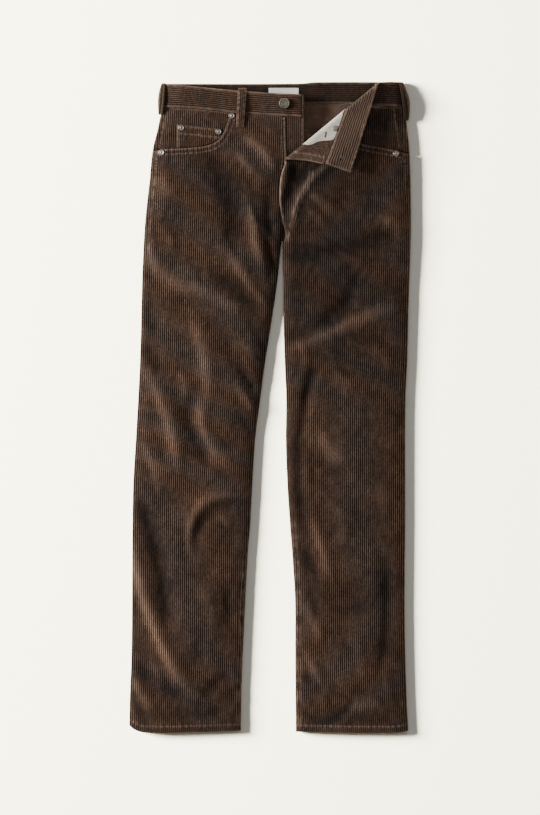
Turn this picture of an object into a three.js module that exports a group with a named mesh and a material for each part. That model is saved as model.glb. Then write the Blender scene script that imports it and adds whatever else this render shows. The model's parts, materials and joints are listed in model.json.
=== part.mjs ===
import * as THREE from 'three';

// Sizes in mm. X runs to the wearer's left, Y to the waist, Z up from the surface.
const CLOTH = 1.6;      // wall of one layer of corduroy
const BAND = 3.0;       // doubled cloth of the waistband
const LINING = 1.2;     // facings, pocketing, coin pocket
const GAP = 0.3;        // air between two pieces at a seam
const SEAM_Z = 4.5;       // height of the side seams and inseams
const HEM_Y = -541;     // lower end of the legs
const HEM_TURN = 12;    // depth of the turned hem
const CROTCH_Y = 270;
const YOKE_Y = 461;     // seam between back panel and yoke
const BAND_LIFT = 0.8;  // waistband stands out from the panel
const FOLD = { x: 24.1, y: 403.2, nx: -0.638, ny: 0.77, r: 3.2, lift: 7 };

// Cubic curve through rows of [position, value], rows in rising order.
const curve = (rows) => (p) => {
  const last = rows.length - 1;
  if (p <= rows[0][0]) return rows[0][1];
  if (p >= rows[last][0]) return rows[last][1];
  let k = 0;
  while (p > rows[k + 1][0]) k += 1;
  const slope = (i) => {
    const [a, b] = [rows[Math.max(i - 1, 0)], rows[Math.min(i + 1, last)]];
    return (b[1] - a[1]) / (b[0] - a[0]);
  };
  const [[p0, v0], [p1, v1]] = [rows[k], rows[k + 1]];
  const h = p1 - p0, s = (p - p0) / h, q = 1 - s;
  return v0 * (1 + 2 * s) * q * q + v1 * (3 - 2 * s) * s * s
    + slope(k) * h * s * q * q - slope(k + 1) * h * q * s * s;
};
const lerp = (a, b, t) => a + (b - a) * t;
const smooth = (a, b, p) => {
  const t = Math.min(1, Math.max(0, (p - a) / (b - a)));
  return t * t * (3 - 2 * t);
};
const vec = (x, y, z) => new THREE.Vector3(x, y, z);

// Outline rows are [y, x]; waist and hem rows are [x, y].
const OUT = {
  right: {
    sgn: 1,
    side: curve([[-541, -235], [-486, -234], [-403, -231], [-187, -229.5], [-120, -228],
      [-54, -224], [79, -217], [212, -213.5], [270, -211], [320, -207.5], [378, -201],
      [428, -196], [461, -188], [478, -184.5], [495, -180.5], [511, -178.5], [541, -177]]),
    inseam: curve([[-541, -47.2], [-486, -46.9], [-403, -43.9], [-253, -36.6], [-187, -31.6],
      [-120, -28.1], [-54, -23.9], [12, -15.6], [79, -6.7], [145, 3.7], [212, 13.3],
      [270, 19.1]]),
    fly: curve([[270, 19.1], [287, 23.6], [303, 21.4], [320, 18.1], [337, 15.8], [361, 14.8],
      [387, 16.9], [403, 22.3], [445, 21.4], [483, 20.6]]),
    bandLow: curve([[-183, 499], [-116, 495.5], [-65, 489.6], [-13, 485.5], [56.5, 482.2]]),
    bandTop: curve([[-177, 538], [-116, 532], [-50, 525.5], [16.6, 521.2], [56.5, 519.6]]),
    hem: curve([[0, 13], [0.05, 6], [0.12, 1.5], [0.29, 0], [0.5, 0.8], [1, 3.8]]),
  },
  left: {
    sgn: -1,
    side: curve([[-541, 230.8], [-486, 228], [-403, 225.5], [-320, 224.5], [-187, 225.5],
      [-54, 225.5], [12, 226], [79, 229], [145, 230.5], [212, 232.5], [270, 234.5],
      [320, 235], [378, 234.5], [428, 232.5], [461, 229], [495, 224.5], [541, 218]]),
    inseam: curve([[-541, 41.9], [-403, 40.9], [-320, 40.6], [-253, 36.6], [-187, 31.6],
      [-120, 27.4], [-54, 25.3], [12, 25.9], [79, 23.3], [145, 21.6], [212, 20.9],
      [270, 19.5]]),
    fly: curve([[270, 19.5], [287, 24], [303, 21.8], [320, 18.5], [337, 16.2], [361, 15.2],
      [387, 17.9], [403, 23.4], [415, 25.6], [428, 28.2], [438, 29.4], [452, 30], [478, 29.3]]),
    bandLow: curve([[29, 477.2], [80, 486.5], [127, 494.6], [161, 500.4], [223, 499.6]]),
    bandTop: curve([[24, 521.4], [189.5, 540.3], [221, 540.6]]),
    hem: curve([[0, 3.8], [0.1, 0.4], [0.55, 0.2], [1, 2.3]]),
  },
};
const BACK_TOP = curve([[-177, 538], [50, 538.4], [75, 540.8], [219, 540.8]]);
const BACK_LOW = curve([[-181, 499.3], [-150, 504], [20, 504.6], [190, 504], [224, 499.9]]);
const CROWN = curve([[-541, 13.8], [-480, 13.6], [-300, 13.6], [0, 14.2], [200, 16], [300, 19],
  [420, 21], [500, 21], [541, 20]]);

// Folds: ends, sideways bow of the middle, half width, height (below zero is a hollow).
const FOLDS = [
  // x1, y1, x2, y2, bow, width, height
  [-200, 270, -116, 195, -21, 13, 2.2],
  [-125, 200, -50, 157, 3, 11, 1.8],
  [-90, 219, -13, 159, 4, 12, -2.6],
  [-67, 262, -3, 159, -2, 10, 2.2],
  [-40, 345, -10, 232, -1, 10, 2.2],
  [-106, 420, -50, 275, 13, 20, -3.0],
  [-3, 353, 3, 217, 0, 9, -2.4],
  [-42, 450, 8, 395, 7, 9, 1.8],
  [-53, 425, -7, 368, -2, 8, 1.5],
  [-183, 383, -165, 352, 1, 12, 1.6],
  [-130, 149, -100, 16, 8, 13, 2.2],
  [-33, 142, -7, 102, -1, 7, -1.8],
  [-73, 107, -23, 26, 2, 10, -2.4],
  [-68, 96, -22, 49, -0, 8, 1.6],
  [-206, 170, -186, 122, -0, 12, -1.8],
  [-206, 102, -178, 61, -0, 10, -1.8],
  [-203, 57, -153, -92, 9, 12, 2.4],
  [-116, 4, -65, -99, -14, 12, 2.8],
  [-148, 12, -106, -94, 1, 12, -2.6],
  [-209, -67, -173, -117, -0, 10, 1.8],
  [-57, 37, -23, -7, 1, 6, 1.3],
  [-53, -7, -27, -49, 2, 6, -1.3],
  [-135, -220, -48, -144, 29, 9, 1.9],
  [-123, -229, -47, -164, 22, 10, -1.8],
  [-214, -154, -170, -350, 9, 13, -3.4],
  [-226, -245, -138, -470, -8, 12, 4.0],
  [-218, -433, -133, -478, -6, 11, -2.6],
  [-226, -453, -195, -500, -1, 9, 2.2],
  [-223, -491, -198, -525, 0, 7, -1.6],
  [-165, -496, -70, -496, -17, 8, -2.0],
  [-120, -387, -111, -413, -0, 10, -1.6],
  [-73, -300, -67, -357, 2, 10, -2.0],
  [-116, -486, -68, -445, 2, 9, -1.8],
  [38, 302, 100, 403, 15, 7, 2.6],
  [67, 357, 110, 318, -0, 9, 1.5],
  [188, 318, 221, 290, 1, 10, 1.6],
  [209, 288, 38, 252, 7, 12, -2.6],
  [143, 199, 38, 114, 15, 14, -3.0],
  [38, 101, 203, 165, 1, 12, 2.6],
  [76, 66, 58, 9, -2, 9, -1.9],
  [105, 61, 140, 34, -1, 8, 1.4],
  [68, 41, 60, -207, -15, 10, -2.4],
  [83, -41, 125, -91, -4, 13, 2.0],
  [80, -91, 128, -107, -5, 8, -1.8],
  [71, -190, 103, -283, 1, 10, 2.0],
  [50, -225, 81, -283, 1, 9, -1.8],
  [108, -340, 156, -340, 2, 10, -1.6],
  [57, -328, 86, -390, 3, 10, 1.8],
  [63, -411, 86, -460, 0, 9, 1.8],
  [58, -441, 88, -475, -1, 8, -1.8],
  [190, -259, 183, -440, 10, 12, -2.4],
  [50, -495, 136, -496, -27, 8, -2.2],
  [130, -523, 223, -521, 9, 9, -1.2],
  [136, -500, 180, -488, 1, 8, 1.6],
];

function folds(x, y) {
  let sum = 0;
  for (const [x1, y1, x2, y2, bow, width, height] of FOLDS) {
    const dx = x2 - x1, dy = y2 - y1, len = Math.hypot(dx, dy);
    const s = ((x - x1) * dx + (y - y1) * dy) / (len * len);
    if (s < -0.2 || s > 1.2) continue;
    const off = ((y - y1) * dx - (x - x1) * dy) / len - bow * 4 * s * (1 - s);
    if (Math.abs(off) > 3 * width) continue;
    const ends = smooth(-0.2, 0.25, s) * (1 - smooth(0.75, 1.2, s));
    sum += height * ends * Math.exp(-((off / width) ** 2));
  }
  return sum;
}

// Flat and folded forms of the body.
const round = (d, c) => Math.sqrt(1 - (1 - Math.min(1, Math.max(0, d / c))) ** 2);
const dome = (u) => Math.sqrt(Math.max(0, 1 - (2 * u - 1) ** 2));
const inner = (o, y) => (y < CROTCH_Y ? o.inseam(y) : o.fly(y));
const joined = (y) => smooth(CROTCH_Y, CROTCH_Y + 75, y);

function edges(o, x, y) {
  return [Math.max(0, o.sgn * (x - o.side(y))), Math.max(0, o.sgn * (inner(o, y) - x))];
}
function frontZ(o, x, y) {
  const [side, mid] = edges(o, x, y);
  const [xr, xl] = [OUT.right.side(y), OUT.left.side(y)];
  const leg = 0.6 * round(side, 24) * round(mid, 24) + 0.4 * dome(side / (side + mid || 1));
  const seat = 0.6 * round(side, 30) + 0.4 * dome((x - xr) / (xl - xr));
  const s = lerp(leg, seat, joined(y));
  return SEAM_Z + GAP / 2 + (CROWN(y) - SEAM_Z) * s + folds(x, y) * Math.min(1, 1.3 * s);
}
function backZ(o, x, y) {
  const [side, mid] = edges(o, x, y);
  const s = round(side, 16) * lerp(round(mid, 16), 1, joined(y));
  return (SEAM_Z - GAP / 2) * (1 - s);
}
const beyond = (x, y) => (x - FOLD.x) * FOLD.nx + (y - FOLD.y) * FOLD.ny;

// The left front turns over the fold line and lies face down on itself.
function frontPoint(o, x, y) {
  const d = o.sgn < 0 ? beyond(x, y) : 0;
  if (d <= 0) return vec(x, y, frontZ(o, x, y));
  const { nx, ny, r } = FOLD;
  const turn = Math.min(d / r, Math.PI), over = Math.max(0, d - Math.PI * r);
  const move = r * Math.sin(turn) - over - d;
  const [px, py] = [x + nx * move, y + ny * move];
  const up = r * (1 - Math.cos(turn)) + FOLD.lift * smooth(0, 50, over);
  return vec(px, py, frontZ(o, px, py) + up);
}
// Point moved out from the face of the cloth by lift.
function lifted(o, x, y, lift, h = 0.4) {
  const p = frontPoint(o, x, y);
  const du = frontPoint(o, x + h, y).sub(frontPoint(o, x - h, y));
  const dv = frontPoint(o, x, y + h).sub(frontPoint(o, x, y - h));
  return p.addScaledVector(du.cross(dv).normalize(), lift);
}

const SLOTS = {
  corduroy: { color: 0x3c2b22, roughness: 0.95 },
  pocketing: { color: 0xcbc2b4, roughness: 0.9 },
  label: { color: 0xf2f0ea, roughness: 0.85 },
  button_metal: { color: 0x78716a, roughness: 0.4, metalness: 0.9 },
  rivet_metal: { color: 0xa29c96, roughness: 0.35, metalness: 0.9 },
  zip_metal: { color: 0x76665b, roughness: 0.4, metalness: 0.9 },
};
const root = new THREE.Group();
root.name = 'trousers';

function addMesh(name, slot, points, faces) {
  const keys = new Map(), flat = [], index = [];
  const ids = points.map((p) => {
    const key = [p.x, p.y, p.z].map((c) => Math.round(c * 1e4)).join(' ');
    if (!keys.has(key)) {
      keys.set(key, flat.length / 3);
      flat.push(p.x, p.y, p.z);
    }
    return keys.get(key);
  });
  for (const [a, b, c] of faces) {
    const [i, j, k] = [ids[a], ids[b], ids[c]];
    if (i !== j && j !== k && k !== i) index.push(i, j, k);
  }
  const geometry = new THREE.BufferGeometry();
  geometry.setAttribute('position', new THREE.Float32BufferAttribute(flat, 3));
  geometry.setIndex(index);
  geometry.computeVertexNormals();
  const material = new THREE.MeshStandardMaterial(SLOTS[slot]);
  material.name = slot;
  const mesh = new THREE.Mesh(geometry, material);
  mesh.name = name;
  root.add(mesh);
}

// Closed wall on a grid: grid[i][j] on the face, wall set back from it.
function shell(name, slot, grid, wall, { flip = 1, setBack = () => null, closeTo } = {}) {
  const nu = grid.length, nv = grid[0].length;
  const at = (i, j) => grid[Math.min(nu - 1, Math.max(0, i))][Math.min(nv - 1, Math.max(0, j))];
  const normal = (i, j) => at(i + 1, j).clone().sub(at(i - 1, j))
    .cross(at(i, j + 1).clone().sub(at(i, j - 1))).multiplyScalar(flip).normalize();
  const tip = closeTo ? normal(nu >> 1, nv - 2) : null;
  const face = [], back = [];
  for (let i = 0; i < nu; i += 1) {
    for (let j = 0; j < nv; j += 1) {
      const n = tip && j === nv - 1 ? tip : normal(i, j);
      const dir = setBack(i, j) || n.negate();
      const w = typeof wall === 'function' ? wall(i, j) : wall;
      face.push(at(i, j));
      back.push(at(i, j).clone().addScaledVector(dir, w));
    }
  }
  const total = nu * nv, points = face.concat(back), faces = [];
  const quad = (a, b, c, d) => {
    const short = points[a].distanceTo(points[c]) < points[b].distanceTo(points[d]);
    const two = short ? [[a, b, c], [a, c, d]] : [[a, b, d], [b, c, d]];
    for (const t of two) faces.push(flip > 0 ? t : [t[0], t[2], t[1]]);
  };
  const id = (i, j) => i * nv + j;
  for (let i = 0; i + 1 < nu; i += 1) {
    for (let j = 0; j + 1 < nv; j += 1) {
      const [a, b, c, d] = [id(i, j), id(i + 1, j), id(i + 1, j + 1), id(i, j + 1)];
      quad(a, b, c, d);
      quad(d + total, c + total, b + total, a + total);
    }
    quad(id(i + 1, 0), id(i, 0), id(i, 0) + total, id(i + 1, 0) + total);
    quad(id(i, nv - 1), id(i + 1, nv - 1), id(i + 1, nv - 1) + total, id(i, nv - 1) + total);
  }
  for (let j = 0; j + 1 < nv; j += 1) {
    quad(id(0, j), id(0, j + 1), id(0, j + 1) + total, id(0, j) + total);
    quad(id(nu - 1, j + 1), id(nu - 1, j), id(nu - 1, j) + total, id(nu - 1, j + 1) + total);
  }
  addMesh(name, slot, points, faces);
}
const steps = (n) => Array.from({ length: n + 1 }, (_, k) => k / n);
const range = (a, b, step) => {
  const n = Math.max(1, Math.round(Math.abs(b - a) / step));
  return steps(n).map((t) => lerp(a, b, t));
};
const legSpread = (t) => (1 - Math.cos(Math.PI * t)) / 2;
const seatSpread = (t) => 1 - Math.cos((Math.PI * t) / 2);

// Rows of a panel: outer end, inner end, evenness of the columns.
const level = (o, y) => ({ a: [o.side(y), y], b: [inner(o, y), y], even: 0 });
function pairRows(o, rows) {
  return rows.map(([xa, ya, yb], k) => ({
    a: [xa ?? o.side(ya), ya], b: [inner(o, yb), yb], even: (k + 1) / rows.length,
  }));
}
const crossing = (f, a, b, d) => {
  let [lo, hi] = [a, b];
  for (let k = 0; k < 40; k += 1) {
    const mid = (lo + hi) / 2;
    if (f(mid) < d) lo = mid; else hi = mid;
  }
  return (lo + hi) / 2;
};
function foldRow(d) {
  const o = OUT.left;
  const x = crossing((v) => beyond(v, o.bandLow(v) - 2 * GAP), 139, 29.3, d);
  const y = crossing((v) => beyond(o.fly(v), v), 396, 476.9, d);
  return { a: [x, o.bandLow(x) - 2 * GAP], b: [o.fly(y), y], even: 1 };
}
const legRows = (o) => [HEM_Y, HEM_Y + HEM_TURN, ...range(-505, 245, 25), 262, CROTCH_Y, 280, 295]
  .map((y) => level(o, y));

// Outer end x, outer end y, inner end y of the rows round each pocket mouth.
const MOUTH = {
  right: [[null, 318, 318], [null, 340, 338], [null, 362, 358], [null, 382, 376],
    [null, 398, 387], [null, 411, 396], [null, 424.5, 404], [-178, 428.2, 415],
    [-155, 429.5, 426], [-133, 431, 437], [-111, 433.3, 447], [-93, 439, 456], [-81, 449.5, 464],
    [-73.5, 464.5, 471], [-68.5, 480, 478], [-66, 489.3, 483]],
  left: [[null, 320, 316], [null, 345, 330], [null, 372, 342], [null, 398, 352],
    [null, 420.5, 360], [214.5, 424.8, 365], [189, 430.3, 370], [165, 434.5, 374],
    [150.5, 438.1, 378], [141, 443, 381], [136, 450.5, 384], [133.2, 461, 387],
    [133, 473, 390], [136.6, 490, 394]],
};
const U_TURN = [0, 1, 2, 3, 4].map((k) => (k * Math.PI * FOLD.r) / 4);
const turnedRows = [...U_TURN, 15, 22, 31, 40, 48, 53.2].map(foldRow);
const ROWS = {
  right: [...legRows(OUT.right), ...pairRows(OUT.right, MOUTH.right)],
  left: [...legRows(OUT.left), ...pairRows(OUT.left, MOUTH.left)],
};
// Plan position at share t along a row, hem line and waist seam followed.
function along(o, row, t, top) {
  const y0 = lerp(row.a[1], row.b[1], t);
  const g = lerp(lerp(legSpread(t), seatSpread(t), joined(y0)), t, row.even);
  const flat = row.a[1] === row.b[1];
  let y = lerp(row.a[1], row.b[1], g);
  if (y < HEM_Y + 60) y += o.hem(g) * (1 - (y - HEM_Y) / 60);
  const x = flat ? lerp(o.side(y), inner(o, y), g) : lerp(row.a[0], row.b[0], g);
  if (top) y = o.bandLow(x) - GAP;
  return [x, y];
}

function frontPanel(name, o, rows, columns, closeTo = false) {
  const grid = steps(columns).map((t) => rows.map((row, j) => {
    const [x, y] = along(o, row, t, o.sgn > 0 && j === rows.length - 1);
    return frontPoint(o, x, y);
  }));
  const setBack = (i, j) => {
    const y = rows[j].b[1], seam = joined(y);
    if (i === 0 && rows[j].a[0] === o.side(rows[j].a[1])) return vec(o.sgn, 0, 0);
    if (i === columns && seam < 1) return vec(-o.sgn * (1 - seam), 0, -seam).normalize();
    return null;
  };
  const wall = (i, j) => (rows[j].b[1] < HEM_Y + HEM_TURN + 1 ? 2 * CLOTH : CLOTH);
  shell(name, 'corduroy', grid, wall, { flip: o.sgn, setBack, closeTo });
}

// Back piece between two heights, face down on the surface.
function backPiece(name, o, ys, columns, top) {
  const grid = steps(columns).map((t) => ys.map((yRow, j) => {
    let y = yRow;
    const g = lerp(legSpread(t), seatSpread(t), joined(y));
    if (y < HEM_Y + 60) y += o.hem(g) * (1 - (y - HEM_Y) / 60);
    const mid = y < CROTCH_Y ? o.inseam(y) : 20 - o.sgn * GAP / 2;
    const x = lerp(o.side(y), mid, g);
    if (top && j === ys.length - 1) y = BACK_LOW(x) - GAP;
    return vec(x, y, backZ({ ...o, fly: () => mid }, x, y));
  }));
  const setBack = (i, j) => {
    const seam = joined(ys[j]);
    if (i === 0) return vec(o.sgn, 0, 0);
    if (i === columns && seam < 1) return vec(-o.sgn * (1 - seam), 0, seam).normalize();
    return null;
  };
  const wall = (i, j) => (ys[j] < HEM_Y + HEM_TURN + 1 ? 2 * CLOTH : CLOTH);
  shell(name, 'corduroy', grid, wall, { flip: -o.sgn, setBack });
}

const backRows = [HEM_Y, HEM_Y + HEM_TURN, ...range(-500, 250, 50), CROTCH_Y, 285, 305, 325, 345,
  400, YOKE_Y - GAP];
for (const side of ['right', 'left']) {
  const o = OUT[side];
  const last = side === 'left' ? [foldRow(-GAP / 2)] : [];
  frontPanel(`front_${side}`, o, [...ROWS[side], ...last], 13);
  backPiece(`back_${side}`, o, backRows, 10, false);
  backPiece(`yoke_${side}`, o, [YOKE_Y, 475, 490, 504.3], 10, true);
}
// The turned-back corner of the left front, parted from it along the fold.
frontPanel('front_left_corner', OUT.left, [foldRow(GAP / 2), ...turnedRows.slice(1)], 13, true);

// Waistband, one strip: right front, back, left front and its folded end.
const onFront = (o, x, y) => lifted(o, x, y, BAND_LIFT * smooth(0, 12, edges(o, x, y)[0]));
const onBack = (o, x, y) => vec(x, y, backZ(o, x, y));
const onSide = (o, x, y) => vec(o.side(y), y, SEAM_Z);

function bandColumns() {
  const { right, left } = OUT, list = [];
  const add = (place, o, xTop, xLow, yTop = o.bandTop(xTop), yLow = o.bandLow(xLow)) => {
    list.push(steps(3).map((s) => place(o, lerp(xLow, xTop, s), lerp(yLow, yTop, s))));
  };
  const bandEnd = { right: 56.5, leftTop: 24.5, leftLow: 31 };
  for (const t of steps(14).slice(0, -1)) {
    const g = seatSpread(1 - t);
    const at = (y) => lerp(right.side(y), bandEnd.right, g);
    add(onFront, right, at(530), at(495));
  }
  for (const t of steps(20)) {
    const g = legSpread(t), side = t === 0 || t === 1;
    const at = (y) => lerp(right.side(y), left.side(y), g);
    add(side ? onSide : onBack, t > 0.5 ? left : right, at(538), at(500),
      BACK_TOP(at(538)), BACK_LOW(at(500)));
  }
  for (const t of steps(6).slice(1)) {
    const g = seatSpread(t);
    add(onFront, left, lerp(left.side(540), 191, g), lerp(left.side(500), 139.5, g));
  }
  const atFold = (edge, d) => crossing((v) => beyond(v, edge(v)), 195, bandEnd.leftTop, d);
  const folded = [...U_TURN, 14, 22].map((d) => [atFold(left.bandTop, d), atFold(left.bandLow, d)]);
  for (const [xTop, xLow] of folded) add(onFront, left, xTop, xLow);
  const [lastTop, lastLow] = folded.at(-1);
  for (const t of steps(6).slice(1)) {
    add(onFront, left, lerp(lastTop, bandEnd.leftTop, t), lerp(lastLow, bandEnd.leftLow, t));
  }
  return list;
}
shell('waistband', 'corduroy', bandColumns(), BAND, { flip: -1 });

// Pieces inside the two pocket mouths: inner end [y, x] and lower edge [x, y].
const UNDER = -(CLOTH + 0.7);
const FACING = {
  right: {
    end: () => -58,
    low: curve([[-197, 427.2], [-186, 429], [-181, 428.4], [-172, 421.5], [-133, 423], [-108, 425],
      [-88, 431], [-73, 446], [-65.5, 464], [-60.5, 480], [-58, 484]]),
  },
  left: {
    end: curve([[440, 122], [455, 126], [497, 137]]),
    low: curve([[126, 458], [131, 445], [138, 434], [150, 428.5], [168, 425.5], [189, 421.5],
      [205, 418], [209, 418], [216, 425.4], [226, 424], [233, 422]]),
  },
};
const sideLift = (o, x, y) => (UNDER - 0.6) * smooth(0, 11, edges(o, x, y)[0]);

function sidePiece(name, o, f) {
  const grid = steps(10).map((t) => {
    const g = seatSpread(t), low = f.low(lerp(o.side(430), f.end(440), g));
    const top = o.bandLow(lerp(o.side(498), f.end(497), g)) - 2 * GAP;
    return steps(6).map((s) => {
      const y = lerp(low, top, s);
      const x = lerp(o.side(y), f.end(y), g);
      return t === 0 ? vec(x, y, SEAM_Z + GAP / 2) : lifted(o, x, y, sideLift(o, x, y));
    });
  });
  const setBack = (i) => (i === 0 ? vec(o.sgn, 0, 0) : null);
  shell(name, 'corduroy', grid, CLOTH, { flip: o.sgn, setBack });
}
sidePiece('pocket_facing_right', OUT.right, FACING.right);
sidePiece('pocket_facing_left', OUT.left, FACING.left);

const mouthRight = curve([[-178, 428.5], [-158, 429.8], [-133, 431.2], [-111, 433.6],
  [-93, 439.5], [-80, 450.5], [-76, 458], [-73.3, 465]]);
shell('coin_pocket', 'corduroy', steps(5).map((t) => {
  const x = lerp(-154.6, -81, t);
  return steps(4).map((s) => {
    const y = lerp(mouthRight(x) + 1.2, lerp(470.5, 462, t), s);
    return lifted(OUT.right, x, y, sideLift(OUT.right, x, y) + GAP + LINING);
  });
}), LINING);

// Fly: shield, zip strip and stop on the right, facing on the left.
const shieldLow = curve([[8, 403], [24, 407], [40, 417], [56.5, 432]]);
const shieldDrop = (x, y) => 2 * smooth(20, 30, x) * (1 - smooth(4, 18, beyond(x, y)));
shell('fly_shield_right', 'corduroy', steps(5).map((t) => {
  const x = lerp(8, 56.5, t);
  return steps(6).map((s) => {
    const y = lerp(shieldLow(x), OUT.right.bandLow(x) - GAP, s);
    return lifted(OUT.right, x, y, UNDER - shieldDrop(x, y));
  });
}), CLOTH);
const zipEdge = (y) => OUT.right.fly(y) - GAP / 2 + 0.5;
const strip = (x0, wide, y0, y1, n, lift) => steps(2).map((t) => steps(n).map((s) => {
  const y = lerp(y0, y1, s);
  return lifted(OUT.right, x0(y) + wide * t, y, lift);
}));
shell('zip_chain', 'zip_metal', strip(zipEdge, 4, 418, 477, 5, UNDER + GAP + 1.1), 1.1);
shell('zip_stop', 'zip_metal', strip(zipEdge, 3.5, 477.6, 481, 1, UNDER + GAP + 1.6), 1.6);

// Share along a row at which its x falls below the line x = f(y).
function cut(o, row, f, share = 0) {
  const gap = (t) => { const [x, y] = along(o, row, t); return -o.sgn * (f(y) - x); };
  return Math.max(share, gap(0) > 0 ? share : crossing((t) => gap(t), 0, 1, 0));
}
const flyLine = curve([[300, 33], [329, 41], [348, 48], [380, 64.5], [412, 61], [432, 55],
  [447, 56], [458, 63.5], [472, 67.8], [487, 71.5]]);
const facingRows = [...ROWS.left.slice(-2), ...turnedRows.slice(0, -1)];
function liningGrid(rows, from, to, columns, lift) {
  return steps(columns).map((s) => rows.map((row) => {
    const [x, y] = along(OUT.left, row, lerp(from(row), to(row), s));
    return lifted(OUT.left, x, y, lift);
  }));
}
shell('fly_facing_left', 'corduroy', liningGrid(facingRows,
  (row) => cut(OUT.left, row, flyLine), () => 0.985, 5, UNDER), LINING, { flip: -1 });
const bagRows = [...ROWS.left.slice(-1), ...turnedRows.slice(0, 7), foldRow(29.5)];
shell('pocket_bag_left', 'pocketing', liningGrid(bagRows,
  (row) => cut(OUT.left, row, (y) => FACING.left.end(y) - 0.8, 0.01),
  (row) => cut(OUT.left, row, (y) => flyLine(y) + 1), 6, UNDER), LINING, { flip: -1 });

// Bare label on the inside of the back waistband.
shell('label_plain', 'label', [-2, 48].map((x) => [505.5, 531].map((y) =>
  vec(x, y, BAND + GAP + 0.8))), 0.8);

// Belt loops: one on the right front, one on each side.
const LOOP = 2.0;
const rise = (y) => BAND_LIFT * smooth(486, 492, y) + 2.2 * Math.sin(Math.PI
  * Math.min(1, Math.max(0, (y - 466) / 62)));
shell('belt_loop_front_right', 'corduroy', steps(2).map((t) => range(464.7, 530, 6.5).map((y) => {
  const x = lerp(lerp(-56.5, -42.7, t), lerp(-52.9, -38.6, t), (y - 464.7) / 65.3);
  return lifted(OUT.right, x, y, rise(y) + GAP + LOOP);
})), LOOP);
function sideLoop(name, o, y0, y1, out) {
  const ks = [0.42, 0.2, 0, -0.25, -0.5, -0.75, -1];
  const grid = ks.map((k) => range(y0, y1, 7).map((y) => {
    const d = 10 * k * k, x = o.side(y) + o.sgn * d;
    const z = k > 0 ? backZ(o, x, y) : k < 0 ? frontZ(o, x, y) : SEAM_Z;
    const tilt = Math.max(-0.5, k) * Math.PI * (k > 0 ? 0.15 : 0.9);
    const away = GAP + BAND_LIFT + LOOP + out * Math.sin((Math.PI * (y - y0)) / (y1 - y0));
    return vec(x - o.sgn * away * Math.cos(tilt), y, z - away * Math.sin(tilt));
  }));
  shell(name, 'corduroy', grid, LOOP, { flip: o.sgn });
}
sideLoop('belt_loop_side_right', OUT.right, 486, 539, 2.0);
sideLoop('belt_loop_side_left', OUT.left, 477, 541, 2.4);

// Turned pieces: profile of [radius, height] from axis to axis, set on the cloth.
function turned(name, slot, profile, x, y, o, lift, sides = 12) {
  const base = lifted(o, x, y, lift), outward = lift < UNDER ? -1 : 1;
  const up = lifted(o, x, y, lift + outward).sub(base).normalize();
  const q = new THREE.Quaternion().setFromUnitVectors(vec(0, 0, 1), up);
  const points = [], faces = [];
  for (const [r, h] of profile) {
    for (let k = 0; k < sides; k += 1) {
      const a = (2 * Math.PI * k) / sides;
      points.push(vec(r * Math.cos(a), r * Math.sin(a), h).applyQuaternion(q).add(base));
    }
  }
  for (let p = 0; p + 1 < profile.length; p += 1) {
    for (let k = 0; k < sides; k += 1) {
      const a = p * sides + k, b = p * sides + ((k + 1) % sides);
      faces.push([a, b, b + sides], [a, b + sides, a + sides]);
    }
  }
  addMesh(name, slot, points, faces);
}
const BUTTON = [[0, 0], [3, 0], [3, 2.2], [8.2, 2.2], [8.75, 3.2], [8.2, 4.6], [7, 4.9], [6.2, 4.2],
  [0, 4.0]];
const RIVET = [[0, 0], [4.75, 0], [4.6, 0.7], [3.4, 1.2], [2.2, 1.3], [1.7, 2.1], [0, 2.2]];
const CAP = [[0, 0], [4.9, 0], [4.7, 0.6], [3.2, 1.2], [0, 1.3]];
turned('button', 'button_metal', BUTTON, 23.8, 505.3, OUT.right, BAND_LIFT + 0.5, 24);
for (const [name, x, y, lift] of [
  ['rivet_pocket_top', -63.6, 484.2, 0.5], ['rivet_pocket_side', -180.2, 423.4, 0.7],
  ['rivet_coin_left', -147.4, 464.4, -0.9], ['rivet_coin_right', -85.5, 457.8, -0.9]]) {
  turned(name, 'rivet_metal', RIVET, x, y, OUT.right, lift);
}
turned('rivet_pocket_left', 'rivet_metal', RIVET, 208.8, 421.5, OUT.left, 0.5);
turned('rivet_cap_left', 'rivet_metal', CAP, 91.5, 482.5, OUT.left, UNDER - LINING - 0.5);

export default root;
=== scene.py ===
"""Wide-wale corduroy trousers laid flat, front up, with the fly open and one waist corner folded back.

Sizes are in millimetres until a mesh is made, and metres from there on. X runs to the wearer's left, Y from the
hems to the waist, Z up from the surface.
"""
import json
import math
from types import SimpleNamespace

import bpy
import numpy as np
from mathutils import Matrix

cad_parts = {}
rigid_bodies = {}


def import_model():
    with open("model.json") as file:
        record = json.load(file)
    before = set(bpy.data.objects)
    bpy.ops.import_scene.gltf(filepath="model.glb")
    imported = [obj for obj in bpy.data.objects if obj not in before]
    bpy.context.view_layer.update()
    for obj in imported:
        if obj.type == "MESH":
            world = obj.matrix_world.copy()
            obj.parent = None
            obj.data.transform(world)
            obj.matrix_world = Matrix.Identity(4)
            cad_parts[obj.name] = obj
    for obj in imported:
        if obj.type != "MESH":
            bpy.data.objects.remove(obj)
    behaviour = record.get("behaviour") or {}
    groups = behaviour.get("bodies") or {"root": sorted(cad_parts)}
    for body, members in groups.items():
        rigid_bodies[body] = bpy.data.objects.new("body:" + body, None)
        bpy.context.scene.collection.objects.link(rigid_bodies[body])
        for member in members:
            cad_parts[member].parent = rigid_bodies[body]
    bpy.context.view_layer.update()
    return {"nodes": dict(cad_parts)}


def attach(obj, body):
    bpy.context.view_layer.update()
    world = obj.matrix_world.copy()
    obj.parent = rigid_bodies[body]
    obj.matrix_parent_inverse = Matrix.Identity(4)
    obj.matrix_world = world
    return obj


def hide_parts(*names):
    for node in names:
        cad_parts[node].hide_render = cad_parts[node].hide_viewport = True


MM = 0.001
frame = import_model()

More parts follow.
